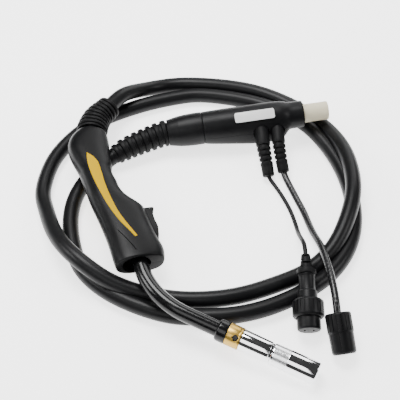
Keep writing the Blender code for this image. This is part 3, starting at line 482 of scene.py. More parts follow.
def turned(name, profile, steps=64, closed=False):
    """A turned piece round its own Z: the profile's (z, r) points drawn one after another, then spun."""
    piece = new_mesh(name)
    points = [Vector((r, 0, z)) * MM for z, r in profile]
    if closed:
        points.append(points[0])
    ops.transform.translate(value=points[0])
    for before, after in zip(points, points[1:]):
        ops.mesh.extrude_region_move(TRANSFORM_OT_translate={"value": after - before})
    take_all()
    ops.mesh.spin(steps=steps, angle=2 * math.pi, center=(0, 0, 0), axis=(0, 0, 1))
    close_up()
    return piece


def turned_wall(name, section, round_by, arcs, steps):
    """A turned piece whose wall has a closed section, with its corners rounded."""
    return turned(name, rounded(section, round_by, arcs, closed=True), steps, closed=True)


def drilled(name, radius, low, high, steps):
    """A plain round bar along Z, to cut a hole with."""
    return turned(name, ((low, 0), (low, radius), (high, radius), (high, 0)), steps)


def rounded(profile, radius, steps=3, closed=False):
    """The profile with its corners rounded, as short runs of points."""
    points = [Vector(p) for p in profile]
    count = len(points)
    found = []
    for i, point in enumerate(points):
        if not closed and i in (0, count - 1):
            found.append(tuple(point))
            continue
        to_before, to_after = points[i - 1] - point, points[(i + 1) % count] - point
        if to_before.length < 1e-6 or to_after.length < 1e-6:
            found.append(tuple(point))
            continue
        reach = min(radius, to_before.length * 0.45, to_after.length * 0.45)
        start, end = point + to_before.normalized() * reach, point + to_after.normalized() * reach
        for k in range(steps + 1):
            t = k / steps
            found.append(tuple(start * (1 - t) ** 2 + point * 2 * t * (1 - t) + end * t * t))
    return found


def flat_face(name, outline):
    """A single face with its corners on the outline, selected in edit mode."""
    clear_selection()
    ops.mesh.primitive_circle_add(vertices=len(outline), radius=5 * MM, fill_type="NGON")
    piece = bpy.context.object
    piece.name = piece.data.name = name
    ops.object.mode_set(mode="EDIT")
    ops.mesh.select_mode(type="FACE")
    take_all()
    shape = bmesh.from_edit_mesh(piece.data)
    shape.faces.ensure_lookup_table()
    for loop, spot in zip(shape.faces[0].loops, outline):
        loop.vert.co = Vector(spot) * MM
    bmesh.update_edit_mesh(piece.data)
    return piece


def drawn_through(name, rings):
    """A skin drawn from ring to ring by extruding a face: each ring is a list of points in order."""
    piece = flat_face(name, rings[0])
    for before, after in zip(rings, rings[1:]):
        ops.mesh.extrude_region_move()
        shape = bmesh.from_edit_mesh(piece.data)
        face = next(f for f in shape.faces if f.select)
        verts = [loop.vert for loop in face.loops]
        first = min(range(len(verts)), key=lambda k: (verts[k].co - Vector(before[0]) * MM).length)
        verts = verts[first:] + verts[:first]
        if (verts[1].co - Vector(before[1]) * MM).length > (verts[-1].co - Vector(before[1]) * MM).length:
            verts = [verts[0]] + verts[1:][::-1]
        for vert, spot in zip(verts, after):
            vert.co = Vector(spot) * MM
        bmesh.update_edit_mesh(piece.data)
    close_up()
    return piece


def cut_from_sheet(name, outline, low, high):
    """A flat outline cut from sheet, from low to high along Z."""
    piece = flat_face(name, [(x, y, low) for x, y in outline])
    ops.mesh.extrude_region_move(TRANSFORM_OT_translate={"value": (0, 0, (high - low) * MM)})
    close_up()
    return piece


def block(name, low, high, round_by=0, segments=3):
    """A block between two corners, with its edges rounded."""
    clear_selection()
    middle = [(a + b) / 2 * MM for a, b in zip(low, high)]
    ops.mesh.primitive_cube_add(size=1, location=middle)
    piece = bpy.context.object
    piece.name = piece.data.name = name
    piece.scale = [(b - a) * MM for a, b in zip(low, high)]
    ops.object.transform_apply()
    if round_by:
        edit(piece)
        take_all()
        ops.mesh.bevel(offset=round_by * MM, segments=segments, affect="EDGES")
        close_up()
    return piece


def apply_modifier(piece, kind, **settings):
    hold(piece)
    modifier = piece.modifiers.new(kind.lower(), kind)
    for key, value in settings.items():
        setattr(modifier, key, value)
    ops.object.modifier_apply(modifier=modifier.name)


def smoothed(piece, levels=2):
    apply_modifier(piece, "SUBSURF", levels=levels, render_levels=levels)
    return piece


def carve(piece, cutter, operation="DIFFERENCE"):
    """Cuts a piece with another, joins it on, or keeps what they share."""
    apply_modifier(piece, "BOOLEAN", operation=operation, solver="EXACT", object=cutter)
    bpy.data.objects.remove(cutter)
    return piece


def half_of(skin, name, facing, gap):
    """A copy of the skin's half on one side of the middle, cut flat a little short of it."""
    half = skin.copy()
    half.data = skin.data.copy()
    half.name = half.data.name = name
    show(half)
    edit(half)
    take_all()
    cut_at = Vector(facing) * gap * MM
    ops.mesh.bisect(plane_co=cut_at, plane_no=facing, clear_inner=True, use_fill=True, threshold=0.000001)
    ops.object.mode_set(mode="OBJECT")
    return half


def moved(piece, matrix):
    """Moves a piece's own mesh by a matrix in millimetres."""
    matrix = matrix.copy()
    matrix.translation = matrix.translation * MM
    hold(piece)
    piece.matrix_world = matrix
    ops.object.transform_apply()
    return piece


def fit(piece, finish, where, body, *nodes, angle=35, slot=None):
    """Puts a finished piece in its place on the torch, gives it its finish and lets it ride on its body."""
    if where is not None:
        moved(piece, where)
    hold(piece)
    ops.object.shade_smooth_by_angle(angle=math.radians(angle))
    piece.data.materials.clear()
    piece.data.materials.append(finish)
    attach(piece, body)
    if nodes:
        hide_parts(*nodes)
    return piece


X_TO_Z = Matrix.Rotation(math.radians(90), 4, "Y")
Y_TO_Z = Matrix.Rotation(math.radians(-90), 4, "X")


def shifted(x, y, z):
    return Matrix.Translation((x, y, z))


def smooth_route(route, step=3):
    """A natural cubic spline through the route's points, as points about a step apart."""
    p = np.array([Vector(q) + BENCH for q in route], float)
    h = np.linalg.norm(np.diff(p, axis=0), axis=1) ** 0.5
    count = len(p)
    system = np.eye(count)
    right = np.zeros((count, 3))
    for i in range(1, count - 1):
        system[i, i - 1 : i + 2] = h[i - 1], 2 * (h[i - 1] + h[i]), h[i]
        right[i] = 6 * ((p[i + 1] - p[i]) / h[i] - (p[i] - p[i - 1]) / h[i - 1])
    bend = np.linalg.solve(system, right)
    line = []
    for i in range(count - 1):
        pieces = max(2, int(np.linalg.norm(p[i + 1] - p[i]) / step))
        slope = (p[i + 1] - p[i]) / h[i] - h[i] * (2 * bend[i] + bend[i + 1]) / 6
        for s in np.linspace(0, h[i], pieces, endpoint=False):
            line.append(p[i] + slope * s + bend[i] / 2 * s * s + (bend[i + 1] - bend[i]) / (6 * h[i]) * s**3)
    line.append(p[-1])
    return [Vector(q) for q in line]


def arc_lengths(line):
    travelled = [0]
    for a, b in zip(line, line[1:]):
        travelled.append(travelled[-1] + (b - a).length)
    return travelled


def point_at(line, travelled, where):
    for a, b, start, end in zip(line, line[1:], travelled, travelled[1:]):
        if where <= end:
            return a.lerp(b, max(0, where - start) / max(1e-9, end - start))
    return line[-1]


def evenly(line, first, last, step):
    """Points along a line at even steps between two distances along it."""
    travelled = arc_lengths(line)
    count = max(2, round((last - first) / step))
    return [point_at(line, travelled, first + (last - first) * k / count) for k in range(count + 1)]


def drawn_cord(name, points, radius, sides=24):
    """A round cord drawn along points, with rounded ends and a map of its length and girth in metres."""
    shape = bmesh.new()
    mapped = shape.loops.layers.uv.new("length_map")
    points = [p.copy() for p in points]
    travelled = arc_lengths(points)
    rings, across = [], None
    for i, point in enumerate(points):
        ahead = (points[min(i + 1, len(points) - 1)] - points[max(i - 1, 0)]).normalized()
        across = ahead.orthogonal() if across is None else across - ahead * across.dot(ahead)
        across.normalize()
        side = ahead.cross(across)
        size = radius * (0.86 if i in (0, len(points) - 1) else 1)
        rings.append([
            shape.verts.new((point + (across * math.cos(a) + side * math.sin(a)) * size) * MM)
            for a in (2 * math.pi * k / sides for k in range(sides))
        ])
    girth = 2 * math.pi * radius * MM
    for i, (one, two) in enumerate(zip(rings, rings[1:])):
        for k in range(sides):
            j = (k + 1) % sides
            face = shape.faces.new((one[k], one[j], two[j], two[k]))
            spots = ((i, k), (i, k + 1), (i + 1, k + 1), (i + 1, k))
            for loop, (along, turn) in zip(face.loops, spots):
                loop[mapped].uv = (travelled[along] * MM, girth * turn / sides)
    shape.faces.new(rings[0][::-1])
    shape.faces.new(rings[-1])
    bmesh.ops.recalc_face_normals(shape, faces=shape.faces)
    mesh = bpy.data.meshes.new(name)
    shape.to_mesh(mesh)
    shape.free()
    piece = bpy.data.objects.new(name, mesh)
    show(piece)
    return piece


def bent_along(piece, line):
    """Bends a straight piece, made along Z, to follow a line: Z is the distance along it."""
    guide_data = bpy.data.curves.new("guide", "CURVE")
    guide_data.dimensions = "3D"
    spline = guide_data.splines.new("POLY")
    spline.points.add(len(line) - 1)
    for target, point in zip(spline.points, line):
        target.co = (*(point * MM), 1)
    guide = bpy.data.objects.new("guide", guide_data)
    show(guide)
    bpy.context.view_layer.update()
    apply_modifier(piece, "CURVE", object=guide, deform_axis="POS_Z")
    bpy.data.objects.remove(guide)
    edit(piece)
    close_up()
    return piece


# ---- cords

cable_line = smooth_route(CABLE_ROUTE)
cable_arc = arc_lengths(cable_line)
cable_end = cable_arc[-1]
shown_cable = evenly(cable_line, CABLE_SEEN_FROM, cable_end, 4)
inside_connector = [connector_z @ Vector((0, 0, z)) for z in (9, 14, 20, 26, 32, 38, 45)]
power_cord = drawn_cord("power_cord", shown_cable + inside_connector, CABLE_R, 28)
fit(power_cord, cable_jacket, None, "root", "power_cable", angle=60, slot="cable_jacket")


def drawn_lead(name, route, radius, sides, finish, node):
    """A thin cord along its route, with its line and the points it is drawn through."""
    line = smooth_route(route, 2)
    points = evenly(line, 0, arc_lengths(line)[-1], 2.5)
    piece = drawn_cord(name, points, radius, sides)
    fit(piece, finish, None, "root", node, angle=60, slot="cable_jacket")
    return piece, line, points


control_cord, control_line, control_points = drawn_lead(
    "control_cord", CONTROL_ROUTE, LEAD_R, 16, lead_jacket, "control_lead")
gas_pipe, hose_line, hose_points = drawn_lead("gas_pipe", GAS_ROUTE, HOSE_R, 20, hose_braid, "gas_hose")

# ---- handle

HANDLE = (
    (-212.6, -31, 6, 16.6, 0.25), (-204, -40.5, 6.2, 16.8, 0.22), (-194, -46.5, 5.5, 16.9, 0.15),
    (-183, -47.6, 4, 17, 0.07),
    (-168, -44.8, 1.5, 17, 0), (-160, -42.7, 0.9, 17, 0), (-154.5, -41.8, 1.1, 17, 0),
    (-150, -41, 0.5, 17, 0), (-146.5, -40.5, -1.6, 17, 0), (-139, -40, -2.2, 17, 0),
    (-131, -39.4, -1.2, 17, 0), (-124, -38.9, 0.6, 17, 0), (-119, -38.5, 0.7, 17, 0),
    (-113, -38.1, 1, 17, 0), (-104, -37.6, 3.8, 17, 0), (-97, -36.9, 7.9, 17, 0),
    (-91, -36.2, 12.9, 17, 0), (-85, -35.4, 18.6, 17, 0), (-79.5, -34.8, 22.4, 17, 0),
    (-76, -34.2, 23.4, 17, 0), (-45, -30.6, 25, 17, 0), (-26, -30.2, 28, 17, 0),
    (-14, -30.2, 31, 17, 0), (-2, -29.5, 28, 16.6, 0),
)
SECTION_POWER = 2.6
INLAY = (
    (-168, -29), (-160, -22.5), (-150, -18.5), (-135, -18), (-115, -18),
    (-91, -16), (-63, -11), (-29, 0.8), (-28, -2), (-36, -5.5), (-56, -14.5),
    (-82, -22), (-107, -27), (-129, -30), (-151, -31),
)


def handle_ring(x, back, front, half, lean, inset, sides=28):
    """One section of the handle: a rounded rectangle across it."""
    middle, wide, thick = (back + front) / 2, (front - back) / 2 - inset, half - inset
    ring = []
    for k in range(sides):
        a = 2 * math.pi * (k + 0.5) / sides
        c, s = math.cos(a), math.sin(a)
        across = wide * math.copysign(abs(c) ** (2 / SECTION_POWER), c)
        up = thick * math.copysign(abs(s) ** (2 / SECTION_POWER), s)
        ring.append((x + lean * across, middle + across, up))
    return ring


def handle_body(name, inset, rear=0, front=0, levels=2):
    """The handle's whole skin, brought in by an inset, with rounded rims at its two ends."""
    rows = [list(row) for row in HANDLE]
    rows[0][0] += rear
    rows[-1][0] -= front
    rings = [handle_ring(*row, inset) for row in rows]
    first, last = rows[0], rows[-1]
    rims = [handle_ring(*first, inset + 0.5), handle_ring(*first, inset + 2.6)]
    rims[0] = [(x - 0.15, y, z) for x, y, z in rims[0]]
    ends = [[(x, y, z) for x, y, z in handle_ring(*last, inset + grown)] for grown in (0.7, 2.4)]
    ends = [[(x + out, y, z) for x, y, z in ring] for ring, out in zip(ends, (1.3, 1.7))]
    body = drawn_through(name, rims[::-1] + rings + ends)
    return smoothed(body, levels)


def dented(name, outline, depth):
    """A cutter that follows an outline on the handle's face, down to a depth under its skin."""
    cutter = cut_from_sheet(name, outline, 4, 24)
    return carve(cutter, handle_body("dent_floor", depth, levels=2))


def grown_outline(outline, by):
    """The outline moved outwards by a small amount, corner by corner."""
    points = [Vector((*p, 0)) for p in outline]
    area = sum(a.x * b.y - b.x * a.y for a, b in zip(points, points[1:] + points[:1]))
    out = []
    for before, point, after in zip(points[-1:] + points[:-1], points, points[1:] + points[:1]):
        heading = (point - before).normalized() + (after - point).normalized()
        normal = Vector((heading.y, -heading.x, 0)) * (1 if area > 0 else -1)
        out.append(tuple((point + normal * 2 * by / heading.length_squared)[:2]))
    return out


def curved_outline(outline, sharp, steps=4):
    """An outline with smooth runs between its sharp corners."""
    count = len(outline)
    found = []
    for i in range(count):
        p0, p1, p2, p3 = (Vector(outline[(i + k - 1) % count]) for k in range(4))
        if i in sharp:
            p0 = p1 * 2 - p2
        if (i + 1) % count in sharp:
            p3 = p2 * 2 - p1
        for k in range(steps):
            t = k / steps
            found.append(tuple(
                0.5 * ((2 * p1) + (p2 - p0) * t + (2 * p0 - 5 * p1 + 4 * p2 - p3) * t * t
                       + (3 * p1 - p0 - 3 * p2 + p3) * t**3)
            ))
    return found


SCREWS = ((-178, -39.5), (-112, -31.6), (-62, -24), (-17, 20.5))
mouth = point_at(cable_line, cable_arc, HANDLE_MOUTH)
before_mouth = point_at(cable_line, cable_arc, HANDLE_MOUTH - 4)
mouth_z = gun_z.inverted() @ holder(mouth, mouth - before_mouth, GUN_UP)


def handle_pieces():
    skin = handle_body("handle_skin", 0)
    carve(skin, handle_body("hollow", 3, 4, 18, levels=1))
    # the deep oval round the neck at the front, and the neck's own hole
    front = drawn_through("front_oval", [
        [
            (x, NECK_Y - 4.5 + wide * math.cos(a), tall * math.sin(a))
            for a in (2 * math.pi * k / 40 for k in range(40))
        ]
        for x, wide, tall in ((-12, 13.2, 11.4), (-4, 15.4, 12.9), (-1.2, 16.6, 13.7), (3, 18.4, 15))
    ])
    carve(skin, front)
    carve(skin, moved(drilled("neck_way", 9.7, -30, 6, 40),
                      shifted(0, NECK_Y, 0) @ X_TO_Z))
    carve(skin, moved(turned("cable_way", ((-9, 0), (-9, 14.3), (8, 14.6), (8, 0)), 40), mouth_z))
    carve(skin, block("trigger_way", (-78.4, 13, -8), (-28.6, 45, 8), 1.2))
    for k, (x, y) in enumerate(SCREWS):
        way = turned(f"screw_way_{k}", ((-22, 0), (-22, 3.5), (-7.4, 3.5), (-7.4, 1.7), (6, 1.7), (6, 0)), 24)
        carve(skin, moved(way, shifted(x, y, 0)))
    outline = curved_outline(INLAY, (0, 2, 7, 8))
    for side, name, node in ((1, "left", "handle_shell_left"), (-1, "right", "handle_shell_right")):
        turn = Matrix.Scale(side, 4, (0, 0, 1))
        half = half_of(skin, f"grip_{name}", (0, 0, side), HANDLE_SEAM)
        pocket = dented(f"pocket_{name}", grown_outline(outline, 0.22), 1.5)
        carve(half, mirrored(pocket, turn, side))
        groove = dented(f"groove_{name}", curved_outline(
            ((-44, -19.6), (-30, -15.2), (-12, -8.2), (-7.6, -5.6), (-11, -5.4), (-29, -12.6)), (0, 3)), 1.3)
        carve(half, mirrored(groove, turn, side))
        fit(half, handle_black, gun_z, "root", node, slot="moulded_black")
        inlay = cut_from_sheet(f"yellow_flash_{name}", outline, 4, 24)
        carve(inlay, handle_body("inlay_top", -0.12, levels=2), "INTERSECT")
        carve(inlay, handle_body("inlay_floor", 1.3, levels=2))
        mirrored(inlay, turn, side)
        fit(inlay, yellow_trim, gun_z, "root", f"yellow_inlay_{name}", slot="yellow_trim")
    bpy.data.objects.remove(skin)


def mirrored(piece, turn, side):
    if side > 0:
        return piece
    hold(piece)
    piece.matrix_world = turn
    ops.object.transform_apply()
    edit(piece)
    take_all()
    ops.mesh.normals_make_consistent(inside=False)
    ops.object.mode_set(mode="OBJECT")
    return piece


handle_pieces()


pivot_z = gun_z @ shifted(-34, 20, 0)


def trigger_piece():
    outline = (
        (-43.4, -1.4), (-43.4, 12.2), (-42.4, 13.3), (-40.6, 13.3), (-37.4, 12.2), (-35.6, 10.9), (-33, 10.4),
        (-28, 10.2), (-22, 10.5), (-16, 11.4), (-12, 11.5), (-8, 10.7), (-2, 9.6), (5, 7.6),
        (5, -3.2), (-4.5, -3.2), (-8, -1.4),
    )
    lever = cut_from_sheet("trigger_lever", outline, -7, 7)
    edit(lever)
    pick(lever, "EDGE", lambda spot, run: abs(abs(spot.z) - 7) < 0.01 and spot.y > -1)
    ops.mesh.bevel(offset=1.3 * MM, segments=4, affect="EDGES")
    close_up()
    eye = drilled("trigger_eye", 1.75, -20, 20, 24)
    carve(lever, eye)
    fit(lever, trigger_black, pivot_z, "trigger", "trigger", slot="trigger_black")


trigger_piece()
pivot_pin = turned("pivot_pin", rounded(((-11.6, 0), (-11.6, 1.5), (11.6, 1.5), (11.6, 0)), 0.4), 32)
fit(pivot_pin, steel, pivot_z, "root", "trigger_pin", slot="steel")

# ---- boots


def ribbed_profile(first, step, ribs, root, tip, groove, bore, plug=(), tail=(), swell=1, gap=0.26):
    """A boot's wall in section: ribs with rounded backs along its outside, and a plain bore."""
    outer = list(plug)
    for k in range(ribs):
        size = root + (tip - root) * (k / max(1, ribs - 1)) ** swell
        start = first + k * step
        outer += [
            (start + step * share, size - drop)
            for share, drop in (
                (0.04, groove), (gap, groove), (gap + 0.1, 0.25), (gap + 0.2, 0), (0.86, 0), (0.96, 0.3))
        ]
    outer += list(tail)
    end = outer[-1][0]
    return outer + [(end, bore), (outer[0][0], bore)]


def boot(name, profile, line, *nodes, steps=48, wide=None):
    lengthened = []
    for (z, r), (z_next, r_next) in zip(profile, profile[1:] + profile[:1]):
        parts = max(1, round(math.hypot(z_next - z, r_next - r) / 4))
        lengthened += [(z + (z_next - z) * k / parts, r + (r_next - r) * k / parts) for k in range(parts)]
    piece = turned(name, lengthened, steps, closed=True)
    bent_along(piece, line)
    if wide:
        widened(piece, line, wide)
    fit(piece, boot_rubber, None, "root", *nodes, angle=40, slot="boot_rubber")
    return piece


def widened(piece, line, flat):
    """Makes the boot's thick end a tenth wider, across the handle's flat."""
    for vert in piece.data.vertices:
        spot = vert.co / MM
        k = min(range(1, len(line) - 1), key=lambda i: (line[i] - spot).length_squared)
        wide = (line[k + 1] - line[k - 1]).cross(flat).normalized()
        out = (spot - line[k]).dot(wide)
        share = 0.1 * min(1, max(0, ((spot - line[k]).length - 14) / 3))
        vert.co += wide * out * share * MM


gun_boot_at = HANDLE_MOUTH - BOOT_PLUG
boot("gun_boot", ribbed_profile(
    gun_boot_at + 11.9, 6.4, 8, 18.2, 15.4, 1.9, 10.6,
    plug=[(gun_boot_at + z, r) for z, r in ((0, 13.8), (9.6, 13.8), (9.6, 16.9), (11.6, 17.6))],
), cable_line, "handle_boot", wide=GUN_UP)
rear_boot_at = cable_end - REAR_BOOT_REACH
rear_cable_boot = boot("rear_cable_boot", ribbed_profile(
    rear_boot_at + 2, 9.5, 8, 13.1, 17.1, 3, 10.6,
    tail=((rear_boot_at + 79.4, 13), (rear_boot_at + 96, 13)), swell=0.5, gap=0.36,
), cable_line, "rear_boot")


def lead_boot(name, route, first, last, bore, node):
    line = smooth_route(route, 2)
    whole = arc_lengths(line)[-1]
    profile = [(2, first), (30, first), (31.4, first - 0.2)]
    step = 6.6
    for k in range(4):
        size = first + (last - first) * (k + 1) / 5
        start = 32 + k * step
        profile += [
            (start + z, size - drop)
            for z, drop in ((0, 1.5), (1.6, 1.5), (2.2, 0.2), (3.2, 0), (5.6, 0), (6.3, 0.25))
        ]
    profile += [(whole - 3, last - 0.1), (whole - 0.6, last - 0.5), (whole, last - 1.2), (whole, bore)]
    profile.append((2, bore))
    return boot(name, profile, line, node, steps=40)


control_cord_boot = lead_boot("control_cord_boot", CONTROL_BOOT_ROUTE, 9.2, 7.7, LEAD_R + 1, "control_boot")
gas_pipe_boot = lead_boot("gas_pipe_boot", GAS_BOOT_ROUTE, 8.4, 7.6, HOSE_R + 1, "gas_boot")

# ---- swan neck and nozzle


def neck_pieces():
    line = [Vector((x, NECK_Y, 0.0)) for x in np.arange(-30.0, NECK_BEND_FROM, 4.0)]
    for k in range(29):
        a = NECK_BEND * k / 28
        along, aside = NECK_BEND_R * math.sin(a), NECK_BEND_R * (1 - math.cos(a))
        line.append(Vector((NECK_BEND_FROM + along, NECK_Y + aside, 0)))
    line += [neck_bend_end + neck_ahead * t for t in np.arange(4.0, NECK_STRAIGHT - 1.0, 4.0)]
    line.append(nozzle_start - neck_ahead * 0.6)
    whole = arc_lengths(line)[-1]
    wall = [(z, 9.0) for z in np.linspace(0.0, whole - 0.5, 50)] + [(whole, 8.6)]
    wall += [(z, 6.1) for z in np.linspace(whole, 0.0, 30)]
    jacket = turned("neck_sheath", wall, 48, closed=True)
    bent_along(jacket, line)
    fit(jacket, neck_gloss, gun_z, "root", "neck_jacket", angle=40, slot="neck_black")
    bush = turned_wall("neck_bushing", (
        (-0.3, 12.6), (-10, 12.6), (-12, 11), (-12, 9.15), (-0.3, 9.15)), 1, 4, 64)
    fit(bush, neck_gloss, nozzle_z, "root", "neck_bush", slot="boot_rubber")
    clamp = block("neck_clamp", (-29, NECK_Y - 11.5, -11.5), (-19, NECK_Y + 11.5, 11.5), 1.5)
    bore = drilled("clamp_bore", 9.3, -50, 10, 40)
    carve(clamp, moved(bore, shifted(0, NECK_Y, 0) @ X_TO_Z))
    fit(clamp, inner_brass, gun_z, "root", "neck_clamp_block", slot="brass")


neck_pieces()

COLLAR_END, SLEEVE_END, NOZZLE_END = 15.6, 51.5, 103.6


def nozzle_pieces():
    collar = turned_wall("gold_collar", (
        (COLLAR_END, 11.3), (COLLAR_END, 12.5), (13.4, 12.5), (13, 12.15), (12.6, 12.15), (12.2, 12.5), (0, 12.5),
        (0, 5.9), (7.4, 5.9), (7.4, 6.4), (13.8, 6.4), (13.8, 11.3)), 0.35, 2, 72)
    set_screw_z = Matrix.Rotation(math.radians(42), 4, "Z") @ shifted(0, 0, 10) @ X_TO_Z
    hole = turned("set_screw_hole", ((4.5, 0), (4.5, 3.3), (12, 3.4), (12.6, 4.2), (16, 4.2), (16, 0)), 32)
    carve(collar, moved(hole, set_screw_z))
    fit(collar, brass, nozzle_z, "root", "brass_collar", slot="brass")
    screw = turned("set_screw", rounded(((6.8, 0), (6.8, 3.1), (11.2, 3.1), (11.2, 0)), 0.4, 2), 32)
    socket = drilled("hex", 1.7, 9.4, 12, 6)
    carve(screw, socket)
    fit(moved(screw, set_screw_z), black_parts, nozzle_z, "root", "collar_set_screw", slot="gloss_black")

    sleeve = turned_wall("chrome_sleeve", (
        (SLEEVE_END, 11), (SLEEVE_END - 2.4, 11), (SLEEVE_END - 2.7, 11.95), (COLLAR_END + 0.4, 11.95),
        (COLLAR_END + 0.3, 11), (14.1, 11), (14.1, 9.9), (SLEEVE_END, 9.9)), 0.3, 3, 80)
    fit(sleeve, chrome, nozzle_z, "root", "nozzle_sleeve", slot="chrome")
    cup = turned_wall("chrome_cup", (
        (NOZZLE_END, 9.8), (NOZZLE_END, 11.4), (NOZZLE_END - 1.2, 12.6), (70.4, 12.4), (69.9, 12.1),
        (SLEEVE_END + 1.6, 12.1), (SLEEVE_END + 0.3, 11.8), (SLEEVE_END + 0.3, 9.8)), 0.4, 3, 80)
    fit(cup, chrome, nozzle_z, "nozzle_cup", "nozzle_cup", slot="chrome")


nozzle_pieces()

# ---- machine connector


def housing_ring(z, size, belly, ledge, sides=40):
    """One section of the housing: round above, with its near lower side filled out and squared."""
    ring = []
    for k in range(sides):
        a = 2 * math.pi * (k + 0.5) / sides
        c, s = math.cos(a), math.sin(a)
        x, y = size * c, size * s
        low_side = min(1, max(0, 0.75 - c))
        if s > 0:
            near = (size + 4.6 * ledge) * abs(s) ** (1 - 0.55 * ledge)
            y += (near - y) * low_side
            x -= belly * s * low_side
        ring.append((x, y, z))
    return ring


PLATE_TURN = 28


def connector_pieces():
    collar = turned_wall("cone_collar", (
        (23.3, 18), (23.3, 20.8), (20.6, 20.9), (12, 21), (2, 20.6), (-8, 19.6), (-17, 17.8), (-22.4, 16.6),
        (-22.4, 13.6), (-2, 13.6), (-2, 18)), 0.35, 3, 64)
    fit(collar, housing_black, connector_z, "root", "rear_collar", slot="moulded_black")
    rows = (
        (23.4, 20.4, 0, 0), (23.7, 20.8, 0, 0), (30, 21, 1.2, 0.15), (45, 21.2, 3, 0.35),
        (62, 21.2, 4.8, 0.6), (78, 21.2, 6.6, 0.85), (92, 21.3, 7.8, 1), (108, 21.3, 8.2, 1),
        (120, 21, 7.6, 1), (127, 20.4, 5.6, 0.8), (131.5, 19.2, 1.6, 0.3), (135, 17.9, 0, 0),
        (138, 17.5, 0, 0), (146, 17.4, 0, 0),
        (153.6, 17.4, 0, 0), (154.6, 16.9, 0, 0), (154.8, 16, 0, 0),
    )
    skin = drawn_through("housing_skin", [housing_ring(*row) for row in rows])
    smoothed(skin, 2)
    carve(skin, drilled("housing_hollow", 18.2, 26.3, 127, 40))
    carve(skin, drilled("pin_way", 10.7, 10, 165, 40))
    for name, y, z, r in (("control_way", -1.3, 96.7, 10.2), ("gas_way", -2.3, 117.7, 9.5)):
        way = turned(name, ((6, 0), (6, r), (40, r + 0.4), (40, 0)), 32)
        carve(skin, moved(way, shifted(y, 0, z) @ Y_TO_Z))
    for k, (y, z) in enumerate(((-15.4, 40), (-15.4, 112), (15.4, 60))):
        way = turned(f"housing_screw_way_{k}", (
            (-40, 0), (-40, 3.2), (-9.3, 3.2), (-9.3, 1.7), (6, 1.7), (6, 0)), 24)
        carve(skin, moved(way, shifted(0, y, z) @ X_TO_Z))
    for side, name in ((1, "upper"), (-1, "lower")):
        half = half_of(skin, f"housing_{name}", (side, 0, 0), HOUSING_SEAM)
        fit(half, housing_black, connector_z, "root", f"connector_shell_{name}", slot="moulded_black")
    bpy.data.objects.remove(skin)
    cap = turned_wall("ivory_cap", (
        (187.4, 5.6), (187.4, 11.3), (186.6, 11.9), (161, 11.9), (160.4, 12), (155.2, 12), (155.2, 7.6), (183, 7.6),
        (183, 5.6)), 0.6, 3, 64)
    fit(cap, ivory_plastic, connector_z, "protective_cap", "protective_cap", slot="ivory_plastic")
    crimp = turned("cable_crimp", rounded(((45.4, 0), (45.4, 8.6), (48, 8.6), (48, 0)), 0.5), 48)
    fit(crimp, copper, connector_z, "root", "rear_cable_terminal", slot="copper")
    plate = block("blank_plate", (22, -6.5, 64.9), (22.7, 6.5, 115.9))
    edit(plate)
    pick(plate, "EDGE", lambda spot, run: abs(run.x) > abs(run.y) + abs(run.z))
    ops.mesh.bevel(offset=2.4 * MM, segments=6, affect="EDGES")
    pick(plate, "EDGE", lambda spot, run: abs(spot.x - 22.7) < 0.01)
    ops.mesh.bevel(offset=0.2 * MM, segments=2, affect="EDGES")
    close_up()
    moved(plate, Matrix.Rotation(math.radians(PLATE_TURN), 4, "Z"))
    fit(plate, white_plate, connector_z, "root", "label_plate", slot="white_plate")
    return collar


cone_collar = connector_pieces()

# ---- control plug and gas nut


FLUTED_STEPS = 72


def fluted(piece, low, high, outside, every, first, rim, depth):
    """Presses in one face of every few round a piece, between two heights and beyond a radius."""
    def pressed(spot, facing):
        number = int(((math.atan2(spot.y, spot.x) + math.pi) / (2 * math.pi)) * FLUTED_STEPS)
        return low < spot.z < high and math.hypot(spot.x, spot.y) > outside and number % every == first

    edit(piece)
    pick(piece, "FACE", pressed)
    ops.mesh.inset(thickness=rim * MM, depth=-depth * MM, use_individual=True)
    ops.object.mode_set(mode="OBJECT")


def plug_pieces():
    relief = turned_wall("plug_relief", (
        (0, 3.5), (0, 5), (14.6, 6.8), (18, 6.8), (18.4, 11), (23, 11), (24, 10.2), (24, 3.5)), 0.5, 2, 40)
    for row in range(4):
        for k in range(2):
            turn = Matrix.Rotation(math.radians(90 * (row % 2) + 180 * k), 4, "Z")
            slot = block("slot", (3.4, -4.6, 1.6 + 4 * row), (9, 4.6, 3.8 + 4 * row), 0.3, 1)
            carve(relief, moved(slot, turn))
    fit(relief, boot_rubber, plug_z, "root", "plug_strain_relief", slot="boot_rubber")
    barrel = turned_wall("plug_barrel", (
        (24.3, 7.4), (24.3, 9.8), (25.5, 9.8), (26.4, 9.2), (43, 9.2), (44, 11), (53.4, 11), (54, 12.4), (66, 12.4),
        (66, 7.4)), 0.5, 2, 56)
    fit(barrel, fitting_black, plug_z, "root", "plug_body", slot="moulded_black")
    ring = turned_wall("knurled_ring", (
        (11.5, 13.6), (11.5, 15.6), (9.6, 17.4), (8, 17.6), (-6, 17.6), (-7.6, 16.8), (-9, 15), (-9, 12.75),
        (3.4, 12.75), (3.4, 13.6)), 0.5, 2, FLUTED_STEPS)
    fluted(ring, -5.4, 7.4, 17, 3, 0, 0.25, 0.7)
    knurled = fit(ring, fitting_black, ring_z, "coupling_ring", "plug_coupling_ring", slot="moulded_black")
    insert = turned("plug_face", rounded((
        (66.3, 0), (66.3, 13), (86.4, 13.1), (88, 11.9), (88, 0)), 0.6, 3), 56)
    for turn in (90, 270):
        slot = block("contact_slot", (4, -2.2, 80), (5.8, 2.2, 92), 0.5, 2)
        carve(insert, moved(slot, Matrix.Rotation(math.radians(turn), 4, "Z")))
    face = fit(insert, fitting_black, plug_z, "root", "plug_insert", slot="moulded_black")
    return [relief, barrel, knurled, face]


plug_set = plug_pieces()


